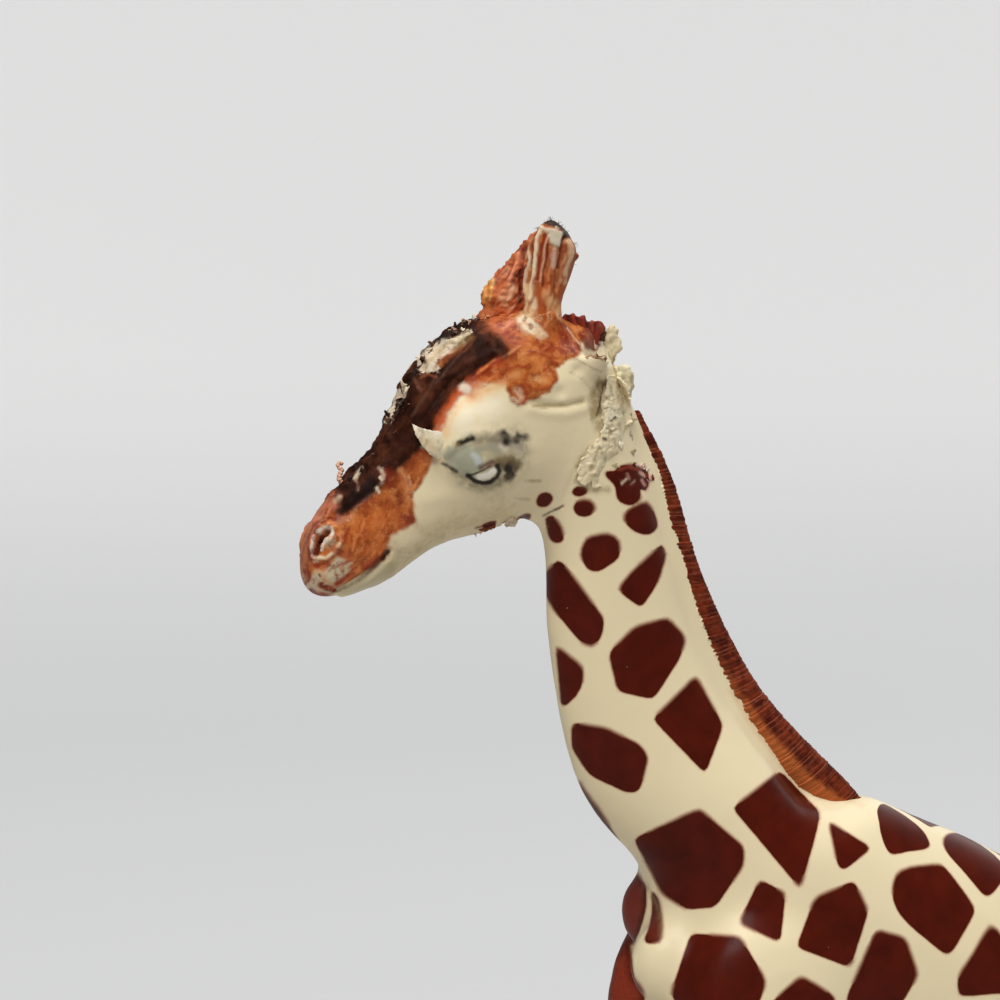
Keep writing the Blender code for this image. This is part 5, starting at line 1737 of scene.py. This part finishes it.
# %% The torn strip down the nape
STRIP_EDGE = (
    607, 376, 604, 388, 602, 398, 601, 408, 599, 417, 602, 421, 601, 428, 597, 437, 593, 441, 588, 447, 582, 457,
    578, 464, 576, 473, 577, 480, 584, 486, 590, 484, 594, 489, 603, 489, 612, 487,
)
STRIP_SEAM = (607, 480, 613, 467, 623, 459, 628, 446, 631, 430, 633, 412, 631, 396, 628, 384)
STRIP = STRIP_EDGE + STRIP_SEAM + (616, 374)
STRIP_STROKES = (
    (0xC4B48C, 0.5, 2.5, 3, (606, 384, 603, 404, 602, 416)),
    (0xECE2C6, 0.6, 2.2, 2, (609, 392, 607, 410, 606, 430)),
    *streaks(10, 26, (604, 380, 630, 386, 628, 430, 606, 440, 600, 470, 584, 476, 604, 430),
     (0.5, 1), (4, 9), (0.4, 0.9),
     (0xA89C78, 0x968860, 0xF0E8D2), 0.5),
    # painted shade in two small holes, along the strip's overhanging edge and in its cracks
    (0x2C2416, 0.9, 0.9, 1.1, (611, 421, 615.4, 417)),
    (0x463622, 0.85, 1.4, 1.4, (603.6, 438.4, 606, 439.4)),
    (0x968454, 0.6, 1.2, 1.8, (600, 447, 596, 456, 590, 470)),
    (0x968054, 0.65, 1.6, 2.2, (602, 386, 600, 400, 601, 414)),
    (0x78643C, 0.7, 0.5, 0.9, (606, 398, 612, 401, 617, 398)),
    (0x78643C, 0.7, 0.5, 0.9, (604, 409, 610, 407, 614, 411, 620, 409)),
    (0x826C40, 0.7, 0.5, 0.9, (606, 428, 612, 431, 618, 428)),
    (0x826C40, 0.65, 0.5, 0.9, (595, 452, 603, 452, 612, 446)),
    (0xAA9E70, 0.55, 1.2, 1.8, (586, 482, 596, 476, 606, 476)),
)
strip = torn_sheet(ragged(STRIP, 1.6, 80), 0.22, 0.25, 81, STRIP_SEAM)
brush(strip, STRIP_STROKES, 31, 0.6, False)
scraps = [strip]
# Outline in the picture, level and half thickness in mm, tint, seed
SCRAPS = (
    ((605, 340, 609, 327, 613, 326, 617, 332, 616, 337, 620, 341, 621, 348, 615, 355, 613, 362, 609, 368, 605, 362,
     602, 352), -0.6, 1.2, 0xDCCEA8, 82),
    ((620, 366, 627, 366, 632, 373, 633, 384, 631, 396, 626, 404, 620, 396, 617, 380), -1.2, 1.6, 0xE0D6B2, 83),
    ((592, 346, 592, 341, 594, 336, 597, 341, 598, 347, 595, 350), -2.6, 0.3, 0xCAA88E, 84),
    # a dark scrap laid in the gap between the torn pieces, where there is only shade: a painted shadow
    ((598, 352, 597, 338, 602, 329, 606, 333, 605, 345, 603, 356), -0.8, 0.8, 0x683E26, 85),
    ((604, 370, 610, 362, 619, 370, 620, 381, 611, 383), -1.6, 1.1, 0xE4D8B8, 86),
    ((472, 532, 475, 526, 478, 533, 476, 538), -1.2, 0.3, 0xC8BAA0, 87),
    ((503, 524, 508, 519, 514, 516, 516, 522, 513, 527, 507, 528), -2.6, 0.4, 0xE2CEB4, 88),
    ((474, 529, 482, 524, 494, 523, 495, 527, 486, 530), -2.2, 0.4, 0x783C22, 89),
)
FLECKED = 14  # pixels high from which a scrap gets flecks
for outline, level, half_thickness, tint, seed in SCRAPS:
    outline = pairs(outline)
    scrap = slab(ragged(outline, 1.0, seed), level, half_thickness, 0.16, 2)
    points, normals = surface_of(scrap)
    wave = 0.6 * creased(points, 1.1, seed) + 0.6 * roughness(points, 0.4, seed, 2)
    store(scrap, "deep", -wave)
    move_points(scrap, points + normals * (0.24 * wave)[:, None])
    darker = int.from_bytes(bytes(round(level * 0.72) for level in tint.to_bytes(3, "big")), "big")
    low, high = np.min(outline, axis=0), np.max(outline, axis=0)
    box = (*low, high[0], low[1], *high, low[0], high[1])
    flecks = ()
    if high[1] - low[1] > FLECKED:
        flecks = streaks(seed, 8, box, (0.3, 1), (2, 5), (0.4, 1.0), (darker, 0x966E3C), 0.5)
    brush(scrap, ((tint, 1.0, 60, 1, box), *flecks), seed, 0.0, False)
    scraps.append(scrap)

# %% The flap under the eye
FLAP = (411, 422.5, 420, 427, 431, 429.5, 443, 431, 448, 444, 445, 458, 437, 460, 429, 455, 422, 447, 415, 436)
flap = torn_sheet(FLAP, 0.7, 0.05, 88, (449, 430, 450, 444, 447, 460))
FLAP_STROKES = (
    (0xE8DBBC, 1, 40, 1, (414, 427, 440, 455)),
    (0xD4B88A, 0.6, 3.5, 4, (424, 440, 434, 448)),
    (0xF0E8D6, 0.8, 1.4, 1.6, (415, 427, 427, 429, 440, 434)),
    (0xB09E80, 0.6, 1.2, 1.6, (418, 440, 426, 450, 436, 457)),
)
brush(flap, FLAP_STROKES, 33, 0.4, False)

# %% Pleated tuft behind the horns
TUFT = (
    561, 326, 561.5, 317, 565, 314, 571.5, 314, 577, 317, 582, 317, 584.7, 314, 586, 320, 590, 321.6, 598, 321,
    601.5, 321.6, 606, 328, 601, 334, 598, 344, 592, 352, 582, 348, 570, 338,
)
tuft = slab(ragged(TUFT, 0.5, 90), -1.4, 1.5, 0.17, 3)
TUFT_STROKES = (
    (0x802818, 1, 60, 1, (570, 320, 600, 345)),
    (0x46120C, 0.85, 1.6, 1.6, (568, 316, 570, 326, 577, 338), -0.3),
    (0x46120C, 0.85, 1.4, 1.5, (577, 319, 581, 330, 586, 342), -0.28),
    (0x3C100C, 0.85, 1.6, 1.6, (587, 322, 588, 332, 591, 344), -0.3),
    (0x3C100C, 0.8, 1.2, 1.4, (596, 324, 595, 333), -0.22),
    (0xA0422C, 0.8, 1.3, 1.6, (573, 316, 576, 328, 582, 338), 0.22),
    (0x963826, 0.75, 1.2, 1.5, (583, 318, 585, 330, 588, 338), 0.2),
    (0xAA5C46, 0.75, 1, 1.3, (592, 322, 593, 332), 0.18),
    (0x784A2E, 0.8, 2, 2, (600, 326, 603, 330), 0.15),
)
brush(tuft, TUFT_STROKES, 35, 0.8)
scraps.append(tuft)

# %% The curl on the nose
CURL = (
    351, 488, 346, 485.5, 341.6, 483, 338.6, 478, 340.4, 473.5, 342, 469.5, 339, 467.5, 337.4, 464.5, 340, 462.4,
    343, 464.6,
)
way = [(*on_plane(place, -0.6 + 0.15 * number), 0.3 - 0.012 * number) for number, place in enumerate(pairs(CURL))]
way = resampled(way, 40)
rings = []
for number, (x, y, z, size) in enumerate(way):
    ahead = way[min(number + 1, 39)][:3] - way[max(number - 1, 0)][:3]
    wobble = 1 + 0.25 * math.sin(number * 1.9)
    rings.append(ring_at((x, y, z), (0, 1, 0), np.cross((0, 1, 0), ahead), size * 1.6 * wobble, size * 1.1 * wobble))
curl = subdivided(as_mesh(sweep(rings, circle_of(12))))
CURL_STROKES = (
    (0xD6A88E, 1, 30, 1, (352, 487, 337, 470)),
    (0x964A32, 0.85, 1.6, 1.6, (347, 486, 340, 482)),
    (0x46241A, 0.75, 1, 1.2, (343, 466, 343.6, 472)),
    (0xC88264, 0.6, 1.2, 1.5, (337, 476, 337, 468)),
)
brush(curl, CURL_STROKES, 37, 0.5, False)
scraps.append(curl)


# %% Shreds standing up from the gnawed skin
def shreds(count, line, spread, sizes, tints, seed, rise=0.6):
    """Small curled leaves set on the skin at random along a line in the picture."""
    picker = random.Random(seed)
    line = pairs(line)
    meshes = []
    for _ in range(count):
        number = picker.randrange(len(line) - 1)
        place = line[number] + (line[number + 1] - line[number]) * picker.random()
        place = place + (picker.uniform(-spread, spread), picker.uniform(-spread, spread))
        root, normal = skin_tree.find_nearest(Vector(on_plane(place, picker.uniform(-2.5, 0.5))))[:2]
        shape = bmesh.new()
        bmesh.ops.create_grid(shape, x_segments=3, y_segments=5, size=0.5)
        length, width, bend = picker.uniform(*sizes), picker.uniform(0.4, 0.9), picker.uniform(-0.8, 0.8)
        for vertex in shape.verts:
            x, y = vertex.co.x, vertex.co.y + 0.42
            aside = x * width * (1.1 - y * 0.75) + 0.1 * math.sin(5 * y + bend)
            vertex.co = (aside, bend * y * y * length * 0.7, y * length)
        side = Vector([picker.uniform(-1, 1) for _ in range(3)])
        up = (normal * picker.uniform(0.05, rise) + side * 0.9).normalized()
        across = up.cross(side).normalized()
        turn = Matrix((across, up.cross(across), up)).transposed().to_4x4()
        bmesh.ops.transform(shape, matrix=Matrix.Translation(root) @ turn, verts=shape.verts)
        leaf = with_modifier(as_mesh(shape), "SOLIDIFY", thickness=picker.uniform(0.08, 0.16), offset=0.0)
        store_brush(leaf, screen(picker.choice(tints)), 1.0)
        meshes.append(leaf)
    return meshes


DARK_TINTS = (0x321810, 0x48241A, 0x24120C, 0x684232)
CREAM_TINTS = (0xE2D6B2, 0xD2C49E, 0xECE2C4, 0xBEB088)
PALE_TINTS = (0xE2CEB2, 0xCEB498, 0xECDEC4, 0xBE967A)
scraps += shreds(22, (478, 320, 467, 326, 443, 341, 425, 354, 421, 366), 3.0, (0.4, 0.9),
    DARK_TINTS + PALE_TINTS, 1)
scraps += shreds(16, (411, 388, 401, 400, 391, 423), 2.5, (0.4, 0.9), DARK_TINTS + PALE_TINTS[:1], 2)
scraps += shreds(8, (384, 444, 371, 459, 356, 474, 337, 499), 2.0, (0.2, 0.4), DARK_TINTS, 3)
scraps += shreds(10, (484, 303, 490, 311, 500, 320), 2.5, (0.3, 0.6), (0xCE7846, 0xE2AA78, 0x964628), 4)
scraps += shreds(34, (585, 338, 605, 354, 614, 372, 608, 392), 5.0, (0.4, 0.8), PALE_TINTS + (0x8C6846,), 5)
scraps += shreds(50, (612, 384, 612, 410, 606, 436, 592, 462, 588, 478), 8.0, (0.5, 1.0), CREAM_TINTS, 8,
    0.25)
scraps += shreds(16, (612, 474, 636, 468, 642, 482), 2.0, (0.25, 0.5), (0x78281E, 0xCEA096, 0xE2C8B4,
    0x5A1A10), 7)
scraps += shreds(8, (476, 531, 500, 526, 521, 522), 1.2, (0.15, 0.35), PALE_TINTS, 6)

# %% Bristles of the near horn's tip
HAIR_TOP = 170.4  # mm up, just under the top of the CAD model's box
picker = random.Random(12)
tips = [n for n, place in enumerate(to_picture(near_horn_points)) if place[1] < 233 or place[0] > 572]
shape = bmesh.new()
for number in picker.sample(tips, 48):
    root, normal = Vector(near_horn_points[number]), Vector(near_horn_normals[number])
    way = (normal + Vector([picker.uniform(-0.7, 0.7) for _ in range(3)])).normalized()
    length = min(picker.uniform(0.2, 0.7), max(0.1, (HAIR_TOP - root.z) / max(way.z, 0.05)))
    hair = Matrix.Translation(root + way * length * 0.4) @ way.to_track_quat("Z", "Y").to_matrix().to_4x4()
    bmesh.ops.create_cone(shape, cap_ends=True, segments=5, radius1=0.024, radius2=0.008, depth=length, matrix=hair)
hairs = as_mesh(shape)
store_brush(hairs, screen(0x382E28), 1.0)
scraps.append(hairs)


# %% Bare torn plastic
def make_torn_plastic():
    material, tree, shader = new_material("torn_plastic_skin", 0.6, 0.0, 0.25)
    place = object_place(tree)
    wear = use_group(tree, PLASTIC_WEAR, {"Scuffs": 1.0})
    clouds = noise(tree, place, 1.4, 5.0, 0.65)
    colour = tinted(tree, (0.82, 0.72, 0.49, 1), (0.72, 0.61, 0.39, 1), step(tree, clouds, 0.35, 0.7))
    colour = brushed_over(tree, colour)
    # dark specks at random, and painted shade in the creases, where the stored 'deep' is high
    specks_and_crease_shade = step(tree, noise(tree, place, 0.6, 4.0, 0.7), 0.62, 0.72)
    specks_and_crease_shade = maths(tree, "MAXIMUM", specks_and_crease_shade, step(tree, stored(tree, "deep"), 0.15, 0.75))
    colour = tinted(tree, colour, (0.3, 0.23, 0.12, 1), specks_and_crease_shade, 0.45)
    height = maths(tree, "MULTIPLY_ADD", clouds, 2.0, wear["Grain"])
    feed(tree, shader, {"Base Color": colour, "Normal": bump(tree, height, 0.45, 0.12)})
    return material


TORN_PLASTIC = make_torn_plastic()
finish_piece("torn_strip", merged_pieces(scraps), TORN_PLASTIC)
finish_piece("cheek_flap", flap, TORN_PLASTIC)

# %% Roots of the ears
for node, name, seed in (("left_ear", "near_ear_root", 91), ("right_ear", "far_ear_root", 92)):
    shape = merged_copy(node)
    mesh = remeshed(as_mesh(shape), 0.22)
    points = averaged(points_of(mesh), edges_of(mesh), 5)
    move_points(mesh, points)
    normals = normals_of(mesh)
    move_points(mesh, points + normals * (0.3 * creased(points, 1.3, seed) - 0.5)[:, None])
    store_brush(mesh, screen(0x96684A), 0.5 + 0.5 * ramp(roughness(points, 0.5, seed + 2), -0.6, 0.6))
    finish_piece(name, mesh, TORN_PLASTIC, [node])

# %% Tail
mesh = remeshed(as_mesh(merged_copy("tail")), 0.28)
points = averaged(points_of(mesh), edges_of(mesh), 14)
move_points(mesh, points)
normals = normals_of(mesh)
tuft = ramp(-points[:, 2], -58, -55)
angle = np.arctan2(points[:, 1], points[:, 0] - np.median(points[points[:, 2] < 56][:, 0]))
lock = np.cos(7 * angle + points[:, 2] * 0.5)
points += normals * (tuft * (0.28 * lock + 0.1) + 0.03 * roughness(points, 0.8, 95, 2))[:, None]
points[:, 0] = np.minimum(points[:, 0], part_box("tail")[1].x / MM)
move_points(mesh, points)
store_coat(mesh, np.where(points[:, 2] < 57, -1.0, 2.0 * np.cos(points[:, 2] * 0.9) + 1.2), 0, FAR_OFF)
finish_piece("tail_casting", mesh, SPOTTED_COAT, ["tail"])
